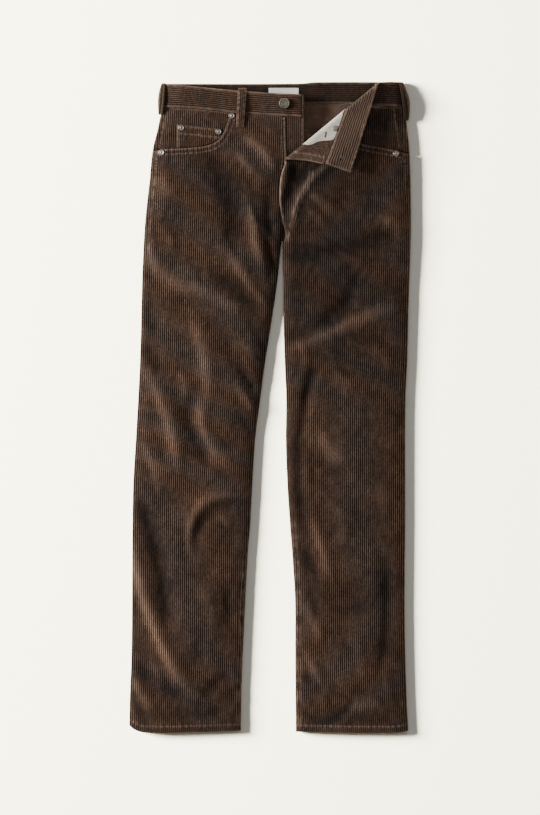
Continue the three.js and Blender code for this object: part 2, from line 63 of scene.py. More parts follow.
# Driving sizes in mm
CLOTH = 1.6            # wall of one layer of corduroy
BAND = 3.0             # doubled cloth of the waistband
LINING = 1.2           # facings, pocketing, coin pocket
GAP = 0.3              # air left at each seam
SEAM_Z = 4.5           # height of the side seams and inseams
HEM_Y = -541.0         # lower end of the legs
HEM_TURN = 12.0        # depth of the turned hem
HEM_STITCH = 11.5
CENTRE_BACK = 20.0     # x of the centre back seam
CROTCH_Y = 270.0
YOKE_Y = 461.0         # seam between back panel and yoke
BAND_LIFT = 0.8        # waistband stands out from the panel
UNDER = -(CLOTH + 0.7)  # face of what lies inside a panel
WALE = 3.4             # one wide wale with its valley
PILE = 0.75            # height of a wale
PER_WALE = 5           # mesh columns across a wale
AT_SEAM = 0.2          # within this of a seam the cloth turns to face its neighbour
EDGE_ROUND = 1.6       # radius at a cut edge
EDGE_RUB = 0.3         # share of pile worn off along an edge
MOST_RUB = 0.85
STITCH = 3.1           # length of a stitch with its gap
THREAD_RADIUS = 0.44
DEEPER = 1.6           # the folds' depth against that of the solids
CREASE = 1.9
FOLD = SimpleNamespace(x=24.1, y=403.2, nx=-0.638, ny=0.77, r=3.2, lift=7.0)


# Curves and outline
def curve(rows):
    """Cubic curve through rows of (position, value), rows in rising order."""
    xs, ys = (np.array(c, float) for c in zip(*rows))
    slope = np.gradient(ys, xs)
    slope[1:-1] = (ys[2:] - ys[:-2]) / (xs[2:] - xs[:-2])

    def at(p):
        p = np.clip(p, xs[0], xs[-1])
        k = np.clip(np.searchsorted(xs, p, side="right") - 1, 0, len(xs) - 2)
        h = xs[k + 1] - xs[k]
        s = (p - xs[k]) / h
        q = 1 - s
        ends = ys[k] * (1 + 2 * s) * q * q + ys[k + 1] * (3 - 2 * s) * s * s
        return ends + slope[k] * h * s * q * q - slope[k + 1] * h * q * s * s

    return at


def lerp(a, b, t):
    return a + (b - a) * t


def smooth(a, b, p):
    t = np.clip((p - a) / (b - a), 0, 1)
    return t * t * (3 - 2 * t)


RIGHT = SimpleNamespace(
    name="right", sgn=1,
    side=curve([(-541, -235), (-486, -234), (-403, -231), (-187, -229.5), (-120, -228), (-54, -224),
                (79, -217), (212, -213.5), (270, -211), (320, -207.5), (378, -201), (428, -196),
                (461, -188), (478, -184.5), (495, -180.5), (511, -178.5), (541, -177)]),
    inseam=curve([(-541, -47.2), (-486, -46.9), (-403, -43.9), (-253, -36.6), (-187, -31.6),
                  (-120, -28.1), (-54, -23.9), (12, -15.6), (79, -6.7), (145, 3.7), (212, 13.3),
                  (270, 19.1)]),
    fly=curve([(270, 19.1), (287, 23.6), (303, 21.4), (320, 18.1), (337, 15.8), (361, 14.8),
               (387, 16.9), (403, 22.3), (445, 21.4), (483, 20.6)]),
    band_low=curve([(-183, 499), (-116, 495.5), (-65, 489.6), (-13, 485.5), (56.5, 482.2)]),
    band_top=curve([(-177, 538), (-116, 532), (-50, 525.5), (16.6, 521.2), (56.5, 519.6)]),
    hem=curve([(0, 13), (0.05, 6), (0.12, 1.5), (0.29, 0), (0.5, 0.8), (1, 3.8)]),
    mouth=curve([(-197, 425.3), (-178, 428.2), (-155, 429.5), (-133, 431), (-111, 433.3), (-93, 439),
                 (-81, 449.5), (-73.5, 464.5), (-68.5, 480), (-66, 489.3)]),
    mouth_end=-66.0, grain_drift=11.0)
LEFT = SimpleNamespace(
    name="left", sgn=-1,
    side=curve([(-541, 230.8), (-486, 228), (-403, 225.5), (-320, 224.5), (-187, 225.5), (-54, 225.5),
                (12, 226), (79, 229), (145, 230.5), (212, 232.5), (270, 234.5), (320, 235), (378, 234.5),
                (428, 232.5), (461, 229), (495, 224.5), (541, 218)]),
    inseam=curve([(-541, 41.9), (-403, 40.9), (-320, 40.6), (-253, 36.6), (-187, 31.6), (-120, 27.4),
                  (-54, 25.3), (12, 25.9), (79, 23.3), (145, 21.6), (212, 20.9), (270, 19.5)]),
    fly=curve([(270, 19.5), (287, 24), (303, 21.8), (320, 18.5), (337, 16.2), (361, 15.2), (387, 17.9),
               (403, 23.4), (415, 25.6), (428, 28.2), (438, 29.4), (452, 30), (478, 29.3)]),
    band_low=curve([(29, 477.2), (80, 486.5), (127, 494.6), (161, 500.4), (223, 499.6)]),
    band_top=curve([(24, 521.4), (189.5, 540.3), (221, 540.6)]),
    hem=curve([(0, 3.8), (0.1, 0.4), (0.55, 0.2), (1, 2.3)]),
    mouth=curve([(133.2, 496), (134, 485), (134.8, 473), (136, 461), (138, 450), (142, 443),
                 (150.5, 438.1), (165, 434.5), (189, 430.3), (214.5, 424.8), (233, 420.6)]),
    mouth_end=133.2, grain_drift=-8.0)
BACK_TOP = curve([(-177, 538), (50, 538.4), (75, 540.8), (219, 540.8)])
BACK_LOW = curve([(-181, 499.3), (-150, 504), (20, 504.6), (190, 504), (224, 499.9)])
CROWN = curve([(-541, 13.8), (-480, 13.6), (-300, 13.6), (0, 14.2), (200, 16), (300, 19), (420, 21), (500, 21),
               (541, 20)])
FLY_LINE = curve([(300, 33), (329, 41), (348, 48), (380, 64.5), (412, 61), (432, 55), (447, 56), (458, 63.5),
                  (472, 67.8), (487, 71.5)])
BAND_END = SimpleNamespace(right=56.5, left_top=24.5, left_low=31)

# Main folds, as in the solids: x1, y1, x2, y2, bow of the middle, half width, height
FOLDS = [
    (-200, 270, -116, 195, -21, 13, 2.2), (-125, 200, -50, 157, 3, 11, 1.8),
    (-90, 219, -13, 159, 4, 12, -2.6), (-67, 262, -3, 159, -2, 10, 2.2), (-40, 345, -10, 232, -1, 10, 2.2),
    (-106, 420, -50, 275, 13, 20, -3.0), (-3, 353, 3, 217, 0, 9, -2.4), (-42, 450, 8, 395, 7, 9, 1.8),
    (-53, 425, -7, 368, -2, 8, 1.5), (-183, 383, -165, 352, 1, 12, 1.6), (-130, 149, -100, 16, 8, 13, 2.2),
    (-33, 142, -7, 102, -1, 7, -1.8), (-73, 107, -23, 26, 2, 10, -2.4), (-68, 96, -22, 49, -0, 8, 1.6),
    (-206, 170, -186, 122, -0, 12, -1.8), (-206, 102, -178, 61, -0, 10, -1.8),
    (-203, 57, -153, -92, 9, 12, 2.4), (-116, 4, -65, -99, -14, 12, 2.8),
    (-148, 12, -106, -94, 1, 12, -2.6), (-209, -67, -173, -117, -0, 10, 1.8),
    (-57, 37, -23, -7, 1, 6, 1.3), (-53, -7, -27, -49, 2, 6, -1.3), (-135, -220, -48, -144, 29, 9, 1.9),
    (-123, -229, -47, -164, 22, 10, -1.8), (-214, -154, -170, -350, 9, 13, -3.4),
    (-226, -245, -138, -470, -8, 12, 4.0), (-218, -433, -133, -478, -6, 11, -2.6),
    (-226, -453, -195, -500, -1, 9, 2.2), (-223, -491, -198, -525, 0, 7, -1.6),
    (-165, -496, -70, -496, -17, 8, -2.0), (-120, -387, -111, -413, -0, 10, -1.6),
    (-73, -300, -67, -357, 2, 10, -2.0), (-116, -486, -68, -445, 2, 9, -1.8),
    (38, 302, 100, 403, 15, 7, 2.6), (67, 357, 110, 318, -0, 9, 1.5), (188, 318, 221, 290, 1, 10, 1.6),
    (209, 288, 38, 252, 7, 12, -2.6), (143, 199, 38, 114, 15, 14, -3.0), (38, 101, 203, 165, 1, 12, 2.6),
    (76, 66, 58, 9, -2, 9, -1.9), (105, 61, 140, 34, -1, 8, 1.4), (68, 41, 60, -207, -15, 10, -2.4),
    (83, -41, 125, -91, -4, 13, 2.0), (80, -91, 128, -107, -5, 8, -1.8), (71, -190, 103, -283, 1, 10, 2.0),
    (50, -225, 81, -283, 1, 9, -1.8), (108, -340, 156, -340, 2, 10, -1.6),
    (57, -328, 86, -390, 3, 10, 1.8), (63, -411, 86, -460, 0, 9, 1.8), (58, -441, 88, -475, -1, 8, -1.8),
    (190, -259, 183, -440, 10, 12, -2.4), (50, -495, 136, -496, -27, 8, -2.2),
    (130, -523, 223, -521, 9, 9, -1.2), (136, -500, 180, -488, 1, 8, 1.6),
]
# Small creases that only the eye needs
CREASES = [
    (-186, 300, -160, 268, 3, 6, 0.9), (-150, 236, -120, 214, 2, 6, 0.8), (-70, 300, -52, 250, -3, 7, -0.9),
    (-34, 330, -20, 290, 2, 5, 1.0), (-14, 300, 8, 262, 3, 5, 1.1), (-4, 250, 12, 226, 2, 5, -1.0),
    (-60, 110, -24, 86, 3, 5, 0.9), (-52, 60, -24, 30, 3, 5, -0.9), (-48, 20, -30, -4, 2, 5, 0.9),
    (-150, 60, -140, 10, 4, 8, 0.9), (-120, -60, -104, -110, -4, 9, 0.8), (-200, -90, -184, -140, 3, 8, 0.9),
    (-96, -170, -66, -200, 4, 8, 0.9), (-150, -200, -140, -260, 5, 9, -0.9),
    (-110, -300, -96, -370, 5, 10, 0.8),
    (-196, -420, -180, -470, 3, 8, 0.9), (-140, -470, -100, -486, -3, 7, 0.9),
    (-80, -430, -62, -480, 3, 8, -0.8),
    (60, 330, 92, 300, 3, 7, 0.9), (110, 250, 160, 236, 3, 8, 0.8), (196, 200, 226, 190, 2, 8, -0.8),
    (44, 120, 60, 60, 4, 8, 0.8), (100, 40, 130, 20, 3, 8, 0.8), (170, 100, 200, 60, 5, 10, 0.8),
    (60, -60, 74, -130, 4, 8, -0.8), (110, -160, 122, -230, 5, 10, 0.8), (180, -120, 190, -190, 5, 10, 0.7),
    (64, -300, 80, -350, 3, 8, -0.8), (140, -380, 150, -450, 5, 10, 0.8), (200, -440, 214, -500, 3, 8, -0.8),
    (70, -470, 96, -500, 3, 7, 0.9), (150, -505, 190, -498, 2, 6, 0.7),
]

# The left front's edge stands up where it runs into the fold
EDGE_ROLL = [(30, 409, 15, 342, 3, 7, 3.4), (15, 352, 23, 290, -1, 5, 1.1)]
# Patches of painted shade (below zero) and painted light (above zero) on the cloth's colour: centre x, y, half
# width, half length, tone
PAINTED_LIGHT_AND_SHADE_PATCHES = [
    (120, 235, 88, 170, -0.48), (34, 310, 24, 110, -0.25), (2, 300, 22, 100, -0.25),
    (-62, 355, 24, 55, -0.34),
    (-145, -175, 34, 80, 0.42), (-192, -325, 18, 45, 0.40), (-168, -395, 20, 36, 0.30),
    (-226, -320, 12, 170, -0.45),
    (-204, 270, 12, 140, -0.42), (-14, 60, 14, 95, -0.40), (40, 190, 14, 120, -0.28),
    (-160, 452, 34, 16, -0.30),
    # (60, 392, 38, 19, -0.9) is a painted shadow under the free edge of the turned-back corner.
    (175, 470, 34, 40, -0.30), (60, 392, 38, 19, -0.9), (-30, 440, 26, 26, 0.16), (-120, 250, 50, 40, 0.10),
    (-120, 30, 60, 130, 0.12), (-110, -420, 70, 70, 0.10), (120, -420, 70, 90, 0.22),
    (120, -90, 60, 60, 0.06),
]


def folds(x, y, rows):
    total = np.zeros(np.broadcast(x, y).shape)
    for x1, y1, x2, y2, bow, width, height in rows:
        dx, dy = x2 - x1, y2 - y1
        length = math.hypot(dx, dy)
        s = ((x - x1) * dx + (y - y1) * dy) / length**2
        off = ((y - y1) * dx - (x - x1) * dy) / length - bow * 4 * s * (1 - s)
        ends = smooth(-0.2, 0.25, s) * (1 - smooth(0.75, 1.2, s))
        total += height * ends * np.exp(-np.minimum(off / width, 6) ** 2)
    return total


# Form of the body
def quarter(d, c):
    return np.sqrt(np.maximum(0, 1 - (1 - np.clip(d / c, 0, 1)) ** 2))


def dome(u):
    return np.sqrt(np.maximum(0, 1 - (2 * u - 1) ** 2))


def middle(o, y, back=False):
    """The inseam below the crotch; the fly edge or the centre back above it."""
    above = CENTRE_BACK - o.sgn * GAP / 2 if back else o.fly(y)
    return np.where(y < CROTCH_Y, o.inseam(y), above)


def joined(y):
    return smooth(CROTCH_Y, CROTCH_Y + 75, y)


def edges(o, x, y, back=False):
    return np.maximum(0, o.sgn * (x - o.side(y))), np.maximum(0, o.sgn * (middle(o, y, back) - x))


def front_z(o, x, y):
    side, mid = edges(o, x, y)
    right, left = RIGHT.side(y), LEFT.side(y)
    leg = 0.6 * quarter(side, 24) * quarter(mid, 24) + 0.4 * dome(side / np.maximum(side + mid, 1e-6))
    seat = 0.6 * quarter(side, 30) + 0.4 * dome((x - right) / (left - right))
    share = lerp(leg, seat, joined(y))
    crease = DEEPER * folds(x, y, FOLDS) + CREASE * folds(x, y, CREASES)
    if o is LEFT:
        crease = crease + CREASE * folds(x, y, EDGE_ROLL)
    return SEAM_Z + GAP / 2 + (CROWN(y) - SEAM_Z) * share + crease * np.minimum(1, 1.3 * share)


def back_z(o, x, y):
    side, mid = edges(o, x, y, True)
    share = quarter(side, 16) * lerp(quarter(mid, 16), 1, joined(y))
    return (SEAM_Z - GAP / 2) * (1 - share)


def beyond(x, y):
    """Distance past the fold line of the turned-back corner."""
    return (x - FOLD.x) * FOLD.nx + (y - FOLD.y) * FOLD.ny


def front_point(o, x, y):
    x, y = np.broadcast_arrays(np.asarray(x, float), np.asarray(y, float))
    if o.sgn > 0:
        return np.stack([x, y, front_z(o, x, y)], -1)
    d = beyond(x, y)
    turn = np.clip(d / FOLD.r, 0, math.pi)
    over = np.maximum(0, d - math.pi * FOLD.r)
    move = np.where(d > 0, FOLD.r * np.sin(turn) - over - d, 0)
    px, py = x + FOLD.nx * move, y + FOLD.ny * move
    up = FOLD.r * (1 - np.cos(turn)) + FOLD.lift * smooth(0, 50, over)
    return np.stack([px, py, front_z(o, px, py) + np.where(d > 0, up, 0)], -1)


def back_point(o, x, y):
    x, y = np.broadcast_arrays(np.asarray(x, float), np.asarray(y, float))
    return np.stack([x, y, back_z(o, x, y)], -1)


def unit(v):
    return v / np.maximum(np.linalg.norm(v, axis=-1, keepdims=True), 1e-9)


def facing_out(place, o, x, y, h=0.35):
    """Outward direction of the cloth's face."""
    du = place(o, x + h, y) - place(o, x - h, y)
    dv = place(o, x, y + h) - place(o, x, y - h)
    n = unit(np.cross(du, dv))
    return -n if place is back_point else n


def lifted(o, x, y, lift, place=front_point):
    n = facing_out(place, o, x, y)
    return place(o, x, y) + n * np.asarray(lift, float)[..., None]


# Meshes from grids
def mesh_object(name, points, blocks, materials, attributes, uvs, smooth_blocks):
    """One mesh. blocks lists (faces, material number), faces being rows of point numbers with -1 for none."""
    loops, totals, mats, shades = [], [], [], []
    for (faces, mat), shade in zip(blocks, smooth_blocks):
        keep = (faces != np.roll(faces, 1, axis=1)) & (faces >= 0)
        count = keep.sum(1)
        keep[count < 3] = False
        loops.append(faces[keep])
        count = count[count >= 3]
        totals.append(count)
        mats.append(np.full(len(count), mat))
        shades.append(np.full(len(count), shade))
    loops, totals = np.concatenate(loops), np.concatenate(totals)
    used, loops = np.unique(loops, return_inverse=True)
    mesh = bpy.data.meshes.new(name)
    mesh.vertices.add(len(used))
    mesh.vertices.foreach_set("co", (points[used] * MM).astype(np.float32).ravel())
    mesh.loops.add(len(loops))
    mesh.loops.foreach_set("vertex_index", loops.astype(np.int32).ravel())
    mesh.polygons.add(len(totals))
    starts = np.concatenate([[0], np.cumsum(totals)[:-1]])
    mesh.polygons.foreach_set("loop_start", starts.astype(np.int32))
    mesh.polygons.foreach_set("loop_total", totals.astype(np.int32))
    mesh.polygons.foreach_set("material_index", np.concatenate(mats).astype(np.int32))
    mesh.polygons.foreach_set("use_smooth", np.concatenate(shades).astype(bool))
    for key, values in attributes.items():
        layer = mesh.attributes.new(key, "FLOAT", "POINT")
        layer.data.foreach_set("value", values[used].astype(np.float32))
    layer = mesh.uv_layers.new(name="OFBake")
    layer.data.foreach_set("uv", uvs[used][loops].astype(np.float32).ravel())
    mesh.update(calc_edges=True)
    for material in materials:
        mesh.materials.append(material)
    made = bpy.data.objects.new(name + "_look", mesh)
    bpy.context.collection.objects.link(made)
    return made


def grid_faces(ids, flip):
    a, b, c, d = ids[:-1, :-1], ids[:-1, 1:], ids[1:, 1:], ids[1:, :-1]
    order = (a, d, c, b) if flip else (a, b, c, d)
    return np.stack(order, -1).reshape(-1, 4)


def shell(name, outer, inner, materials, keep_out=None, keep_in=None, flip=False, ridge=None, wear=None,
          inside=1, step=1, shade=None, ridge_in=None, wear_in=None, painted_shade_in=None):
    """Closed cloth: fine outer grid and coarser inner grid, joined round the rim.

    keep_out and keep_in give, for each grid point, the column that stands for it where a row is cut short.
    """
    rows, cols = outer.shape[:2]
    inner_cols = inner.shape[1]
    out_ids = np.arange(rows)[:, None] * cols + (keep_out if keep_out is not None else np.arange(cols))
    in_ids = np.arange(rows)[:, None] * inner_cols + (keep_in if keep_in is not None else np.arange(inner_cols))
    in_ids = in_ids + rows * cols
    points = np.concatenate([outer.reshape(-1, 3), inner.reshape(-1, 3)])
    u_out, v_out = np.meshgrid(np.linspace(0.01, 0.48, cols), np.linspace(0.01, 0.99, rows))
    u_in, v_in = np.meshgrid(np.linspace(0.52, 0.99, inner_cols), np.linspace(0.01, 0.99, rows))
    uvs = np.concatenate([np.stack([u_out, v_out], -1).reshape(-1, 2),
                          np.stack([u_in, v_in], -1).reshape(-1, 2)])
    plain = np.ones((rows, cols)), np.ones((rows, inner_cols))
    attributes = {}
    # The shade attribute is painted light and shade: a factor on the cloth's colour, 1 where none is painted.
    for key, face, back, usual in (("ridge", ridge, ridge_in, 0.7), ("wear", wear, wear_in, 0.0),
                                   ("shade", shade, painted_shade_in, 1.0)):
        face = plain[0] * (1.0 if key == "ridge" else usual) if face is None else face
        back = plain[1] * usual if back is None else back
        attributes[key] = np.concatenate([face.ravel(), back.ravel()])
    rims = []
    for row, turn in ((0, True), (rows - 1, False)):
        fine = np.stack([np.arange(0, cols - 1, step) + k for k in range(step + 1)], -1)
        fine = out_ids[row][np.minimum(fine, cols - 1)]
        coarse = np.stack([in_ids[row][1:], in_ids[row][:-1]], -1)
        ngon = np.concatenate([fine, coarse], 1)
        rims.append(ngon if turn == flip else ngon[:, ::-1])
    for o_col, i_col, turn in ((out_ids[:, 0], in_ids[:, 0], False), (out_ids[:, -1], in_ids[:, -1], True)):
        quad = np.stack([o_col[:-1], o_col[1:], i_col[1:], i_col[:-1]], -1)
        rims.append(quad if turn == flip else quad[:, ::-1])
    blocks = [(grid_faces(out_ids, flip), 0), (grid_faces(in_ids, not flip), inside)]
    blocks += [(rim, 0) for rim in rims]
    smooth_blocks = [True, True] + [False] * len(rims)
    return mesh_object(name, points, blocks, materials, attributes, uvs, smooth_blocks)


def wale_height(m):
    """Round wale with a narrow valley, from 0 in the valley to 1 on top."""
    return np.abs(np.sin(math.pi * m / WALE)) ** 0.6


# Materials
def linear(colour):
    """sRGB hex to linear."""
    parts = [int(colour[k:k + 2], 16) / 255 for k in (1, 3, 5)]
    return [p / 12.92 if p <= 0.04045 else ((p + 0.055) / 1.055) ** 2.4 for p in parts] + [1.0]


def add_node(tree, kind, links=None, inputs=None, **settings):
    """One node with its settings, input values, and links from other nodes' outputs."""
    made = tree.nodes.new(kind)
    for key, value in settings.items():
        setattr(made, key, value)
    for key, value in (inputs or {}).items():
        made.inputs[key].default_value = value
    for key, source in (links or {}).items():
        tree.links.new(source, made.inputs[key])
    return made


def new_material(name):
    made = bpy.data.materials.new(name)
    made.use_nodes = True
    made.node_tree.nodes.clear()
    return made, made.node_tree


def surface(tree, links, inputs):
    shader = add_node(tree, "ShaderNodeBsdfPrincipled", links, inputs)
    add_node(tree, "ShaderNodeOutputMaterial", {"Surface": shader.outputs["BSDF"]})


def ramp(tree, source, stops):
    made = add_node(tree, "ShaderNodeValToRGB", {"Fac": source})
    while len(made.color_ramp.elements) < len(stops):
        made.color_ramp.elements.new(0.5)
    for element, (place, colour) in zip(made.color_ramp.elements, stops):
        element.position = place
        element.color = linear(colour)
    return made.outputs["Color"]


def mixed(tree, mode, factor, a, b):
    """Colour a and colour b mixed; factor is a number or an output, and b may be a colour."""
    made = add_node(tree, "ShaderNodeMix", data_type="RGBA", blend_type=mode)
    for slot, value in ((0, factor), (6, a), (7, b)):
        if isinstance(value, bpy.types.NodeSocket):
            tree.links.new(value, made.inputs[slot])
        else:
            made.inputs[slot].default_value = linear(value) if isinstance(value, str) else value
    return made.outputs[2]


def noise(tree, where, size, detail=3.0, rough=0.6):
    """Cloudy pattern with patches of that size in mm."""
    return add_node(tree, "ShaderNodeTexNoise", {"Vector": where},
                    {"Scale": 1 / (size * MM), "Detail": detail, "Roughness": rough}).outputs["Fac"]


def scaled(tree, source, low, high, to_low, to_high):
    return add_node(tree, "ShaderNodeMapRange", {"Value": source},
                    {"From Min": low, "From Max": high, "To Min": to_low, "To Max": to_high}).outputs[0]


def bumped(tree, source, strength, height):
    return add_node(tree, "ShaderNodeBump", {"Height": source},
                    {"Strength": strength, "Distance": height * MM}).outputs["Normal"]


def cotton_corduroy():
    """Cut-pile cotton corduroy, piece dyed: matt tufts over a ground painted near black as shade in the wale
    valleys, paler where the pile is worn and where highlights are painted, times the painted light and shade of the
    shade attribute.
    """
    material, tree = new_material("cotton_corduroy")
    where = add_node(tree, "ShaderNodeTexCoord").outputs["Object"]
    height = add_node(tree, "ShaderNodeAttribute", attribute_name="ridge").outputs["Fac"]
    rubbed = add_node(tree, "ShaderNodeAttribute", attribute_name="wear").outputs["Fac"]
    # Painted light and shade from the shade attribute, a factor on the colour.
    painted_light_and_shade = add_node(tree, "ShaderNodeAttribute", attribute_name="shade").outputs["Fac"]
    # The ramp darkens each wale valley to near black, painted shade over the ground cloth, up to the pile's brown
    # on the wale's top.
    pile = ramp(tree, height, [(0.0, "#050302"), (0.72, "#281C15"), (1.0, "#574235")])
    drawn = add_node(tree, "ShaderNodeMapping", {"Vector": where}, {"Scale": (1.0, 0.3, 1.0)}).outputs["Vector"]
    tufts = noise(tree, drawn, 1.2, 2.0, 0.75)
    clumps = scaled(tree, noise(tree, drawn, 5), 0.3, 0.7, 0.78, 1.25)
    patches = scaled(tree, noise(tree, where, 42), 0.32, 0.68, 0.7, 1.32)
    speckle = scaled(tree, tufts, 0.3, 0.7, 0.42, 1.68)
    shade = mixed(tree, "MULTIPLY", 1.0, pile, patches)
    for layer in (clumps, speckle, painted_light_and_shade):
        shade = mixed(tree, "MULTIPLY", 1.0, shade, layer)
    # Pale pile colour mixed in where the pile is worn at edges and seams, and as a painted highlight on fold crests
    # and along the left front's fly edge.
    colour = mixed(tree, "MIX", rubbed, shade, "#957B6B")
    surface(tree, {"Base Color": colour, "Normal": bumped(tree, tufts, 0.5, 0.5)},
            {"Roughness": 0.92, "Specular IOR Level": 0.2, "Sheen Weight": 0.25, "Sheen Roughness": 0.45,
             "Sheen Tint": linear("#B59C8C")})
    return material


def woven(name, colours, thread, roughness=0.9, sheen=0.15):
    """Cotton twill: fine slanting ribs, threads of that width in mm, uneven in tone as dyed cloth is."""
    material, tree = new_material(name)
    where = add_node(tree, "ShaderNodeTexCoord").outputs["Object"]
    turned = add_node(tree, "ShaderNodeMapping", {"Vector": where}, {"Rotation": (0, 0, math.radians(60))})
    ribs = add_node(tree, "ShaderNodeTexWave", {"Vector": turned.outputs["Vector"]},
                    {"Scale": 0.314 / (thread * MM), "Distortion": 1.2, "Detail": 1.0}).outputs["Fac"]
    tone = ramp(tree, noise(tree, where, 18, 4.0), [(0.3, colours[0]), (0.7, colours[1])])
    surface(tree, {"Base Color": tone, "Normal": bumped(tree, ribs, 0.4, 0.25)},
            {"Roughness": roughness, "Specular IOR Level": 0.3, "Sheen Weight": sheen})
    return material


def antiqued_metal(name, colours, roughness):
    """Plated metal dipped dark and tumbled: cloudy pale and dark patches, the dark ones rougher."""
    material, tree = new_material(name)
    where = add_node(tree, "ShaderNodeTexCoord").outputs["Object"]
    cloud = noise(tree, where, 2.5, 4.0, 0.65)
    tone = ramp(tree, cloud, [(0.35, colours[0]), (0.65, colours[1])])
    gloss = scaled(tree, cloud, 0.3, 0.7, roughness + 0.1, roughness - 0.08)
    surface(tree, {"Base Color": tone, "Roughness": gloss, "Normal": bumped(tree, cloud, 0.12, 0.1)},
            {"Metallic": 1.0})
    return material


def matt_paper(name, colour):
    """Seamless backing paper, pale and matt, so the background stays even."""
    material, tree = new_material(name)
    surface(tree, {}, {"Base Color": linear(colour), "Roughness": 0.95, "Specular IOR Level": 0.1})
    return material


CORDUROY = cotton_corduroy()
CORD_BACK = woven("corduroy_ground_twill", ("#4A382D", "#634D3F"), 0.6)
TWILL = woven("cream_pocket_twill", ("#BFB5A7", "#D0C8BB"), 0.5)
TAPE = woven("white_label_tape", ("#F6F4F0", "#FFFFFF"), 0.35, 0.8)
THREAD = woven("polyester_core_thread", ("#5A4538", "#735B4B"), 0.3, 0.6, 0.3)
ZIP_TAPE = woven("zip_tape_twill", ("#3A2A22", "#463429"), 0.5)
BUTTON_METAL = antiqued_metal("antiqued_zinc", ("#655E55", "#8A8378"), 0.52)
RIVET_METAL = antiqued_metal("antiqued_copper", ("#7D756D", "#ADA59C"), 0.48)
TOOTH_METAL = antiqued_metal("antiqued_brass", ("#6C5C50", "#A8947F"), 0.45)
PAPER = matt_paper("backing_paper", "#F2EFE4")
CLOTH_PAIR = [CORDUROY, CORD_BACK]


# Panels cut on the straight grain, so that the wales run down them
def grain(o, y):
    """The grain line: it follows the outside of the leg and runs straighter over the hip."""
    return o.side(np.minimum(y, 250)) + o.grain_drift * np.maximum(0, (y - 250) / 290)


def wale_columns(width):
    """Distances across the wales, from two wales outside the grain line to a whole wale past the width."""
    return (np.arange(math.ceil(width / WALE) * PER_WALE + 1) - 2 * PER_WALE) * WALE / PER_WALE


def stand_in(cut_low, cut_high):
    """The column that stands for each grid point where an edge cuts a row short."""
    cols = cut_low.shape[1]
    own = np.arange(cols) + np.zeros((len(cut_low), 1), int)
    low = np.where(cut_low, own, 0).max(1, keepdims=True)
    high = np.where(cut_high, own, cols - 1).min(1, keepdims=True)
    return np.clip(own, low, high)


def cut_columns(o, y, m, low, high):
    """x on the wale columns, cut at both edges of the piece, and where it was cut."""
    raw = o.sgn * (grain(o, y) + o.sgn * m)
    a, b = o.sgn * low(y), o.sgn * high(y)
    return o.sgn * np.clip(raw, a, b), raw < a, raw > b


def panel_grid(o, m, levels, share, top, bottom=None, low=None, high=None, back=False):
    """Level rows up the leg, then rows that close up from the last of them on the top edge."""
    low = low or o.side
    high = high or (lambda y: middle(o, y, back))
    m = np.asarray(m)[None, :]
    parts = []
    if levels is not None:
        ys = np.array(levels, float)[:, None]
        wide = np.abs(high(ys) - low(ys))
        parts.append(ys + o.hem(np.clip(m / wide, 0, 1)) * np.clip(1 - (ys - HEM_Y) / 60, 0, 1))
        share = share[1:]
    share = np.array(share, float)[:, None]
    start = (lambda x: levels[-1] + 0 * x) if levels is not None else bottom
    y = np.full((len(share), m.shape[1]), YOKE_Y)
    for _ in range(5):
        x = cut_columns(o, y, m, low, high)[0]
        y = lerp(start(x), top(x), share)
    y = np.concatenate(parts + [y])
    return (*cut_columns(o, y, m, low, high), y)


def near(x, y, line, reach=12.0):
    """Distance from each point to a line of points, and how far along the line that is."""
    line = np.asarray(line, float)
    best, along = np.full(x.shape, 99.0), np.zeros(x.shape)
    (x0, y0), (x1, y1) = line.min(0) - reach, line.max(0) + reach
    mask = (x > x0) & (x < x1) & (y > y0) & (y < y1)
    px, py, d, s, run = x[mask], y[mask], best[mask], along[mask], 0.0
    for (ax, ay), (bx, by) in zip(line[:-1], line[1:]):
        dx, dy = bx - ax, by - ay
        length = math.hypot(dx, dy)
        t = np.clip(((px - ax) * dx + (py - ay) * dy) / length**2, 0, 1)
        new = np.hypot(px - ax - t * dx, py - ay - t * dy)
        s = np.where(new < d, run + t * length, s)
        d = np.minimum(d, new)
        run += length
    best[mask], along[mask] = d, s
    return best, along


def wander(x, y, size, seed=0.0):
    """Smooth irregular field between -1 and 1 with waves of about that size."""
    k = 2 * math.pi / size
    return (np.sin(k * (x + 0.3 * y) + seed + 1.7 * np.sin(0.37 * k * y + 2.1 * seed))
            * np.sin(k * (0.8 * y - 0.4 * x) + 1.3 * seed + 1.9 * np.sin(0.29 * k * x + seed)))


def stitched(x, y, lines):
    """Hollows, puckers and worn edges that rows of stitches leave in the cloth."""
    press, rub = np.zeros(x.shape), np.zeros(x.shape)
    for line in lines:
        d, s = near(x, y, line)
        wave = np.sin(s * 0.95 + 2.4 * np.sin(s * 0.17))
        press += 0.6 * np.exp(-(d / 0.8) ** 2) - 0.22 * np.exp(-(d / 4) ** 2) * wave
        rub += (0.30 + 0.26 * wave) * np.exp(-((d - 0.6) / 1.0) ** 2)
    return press, rub


def relief(x, y):
    """Rise of the cloth over its plain form, about -1 in the main hollows to 1 on the main folds."""
    return np.clip((DEEPER * folds(x, y, FOLDS) + CREASE * folds(x, y, CREASES)) / 3.5, -1, 1)


def painted_light_and_shade(x, y):
    """Painted light and shade on the cloth, a factor on its colour: 1 where none is painted."""
    tone = 1.0 + 0 * x * y
    for cx, cy, wide, long, change in PAINTED_LIGHT_AND_SHADE_PATCHES:
        tone = tone + change * np.exp(-((x - cx) / wide) ** 2 - ((y - cy) / long) ** 2)
    return tone


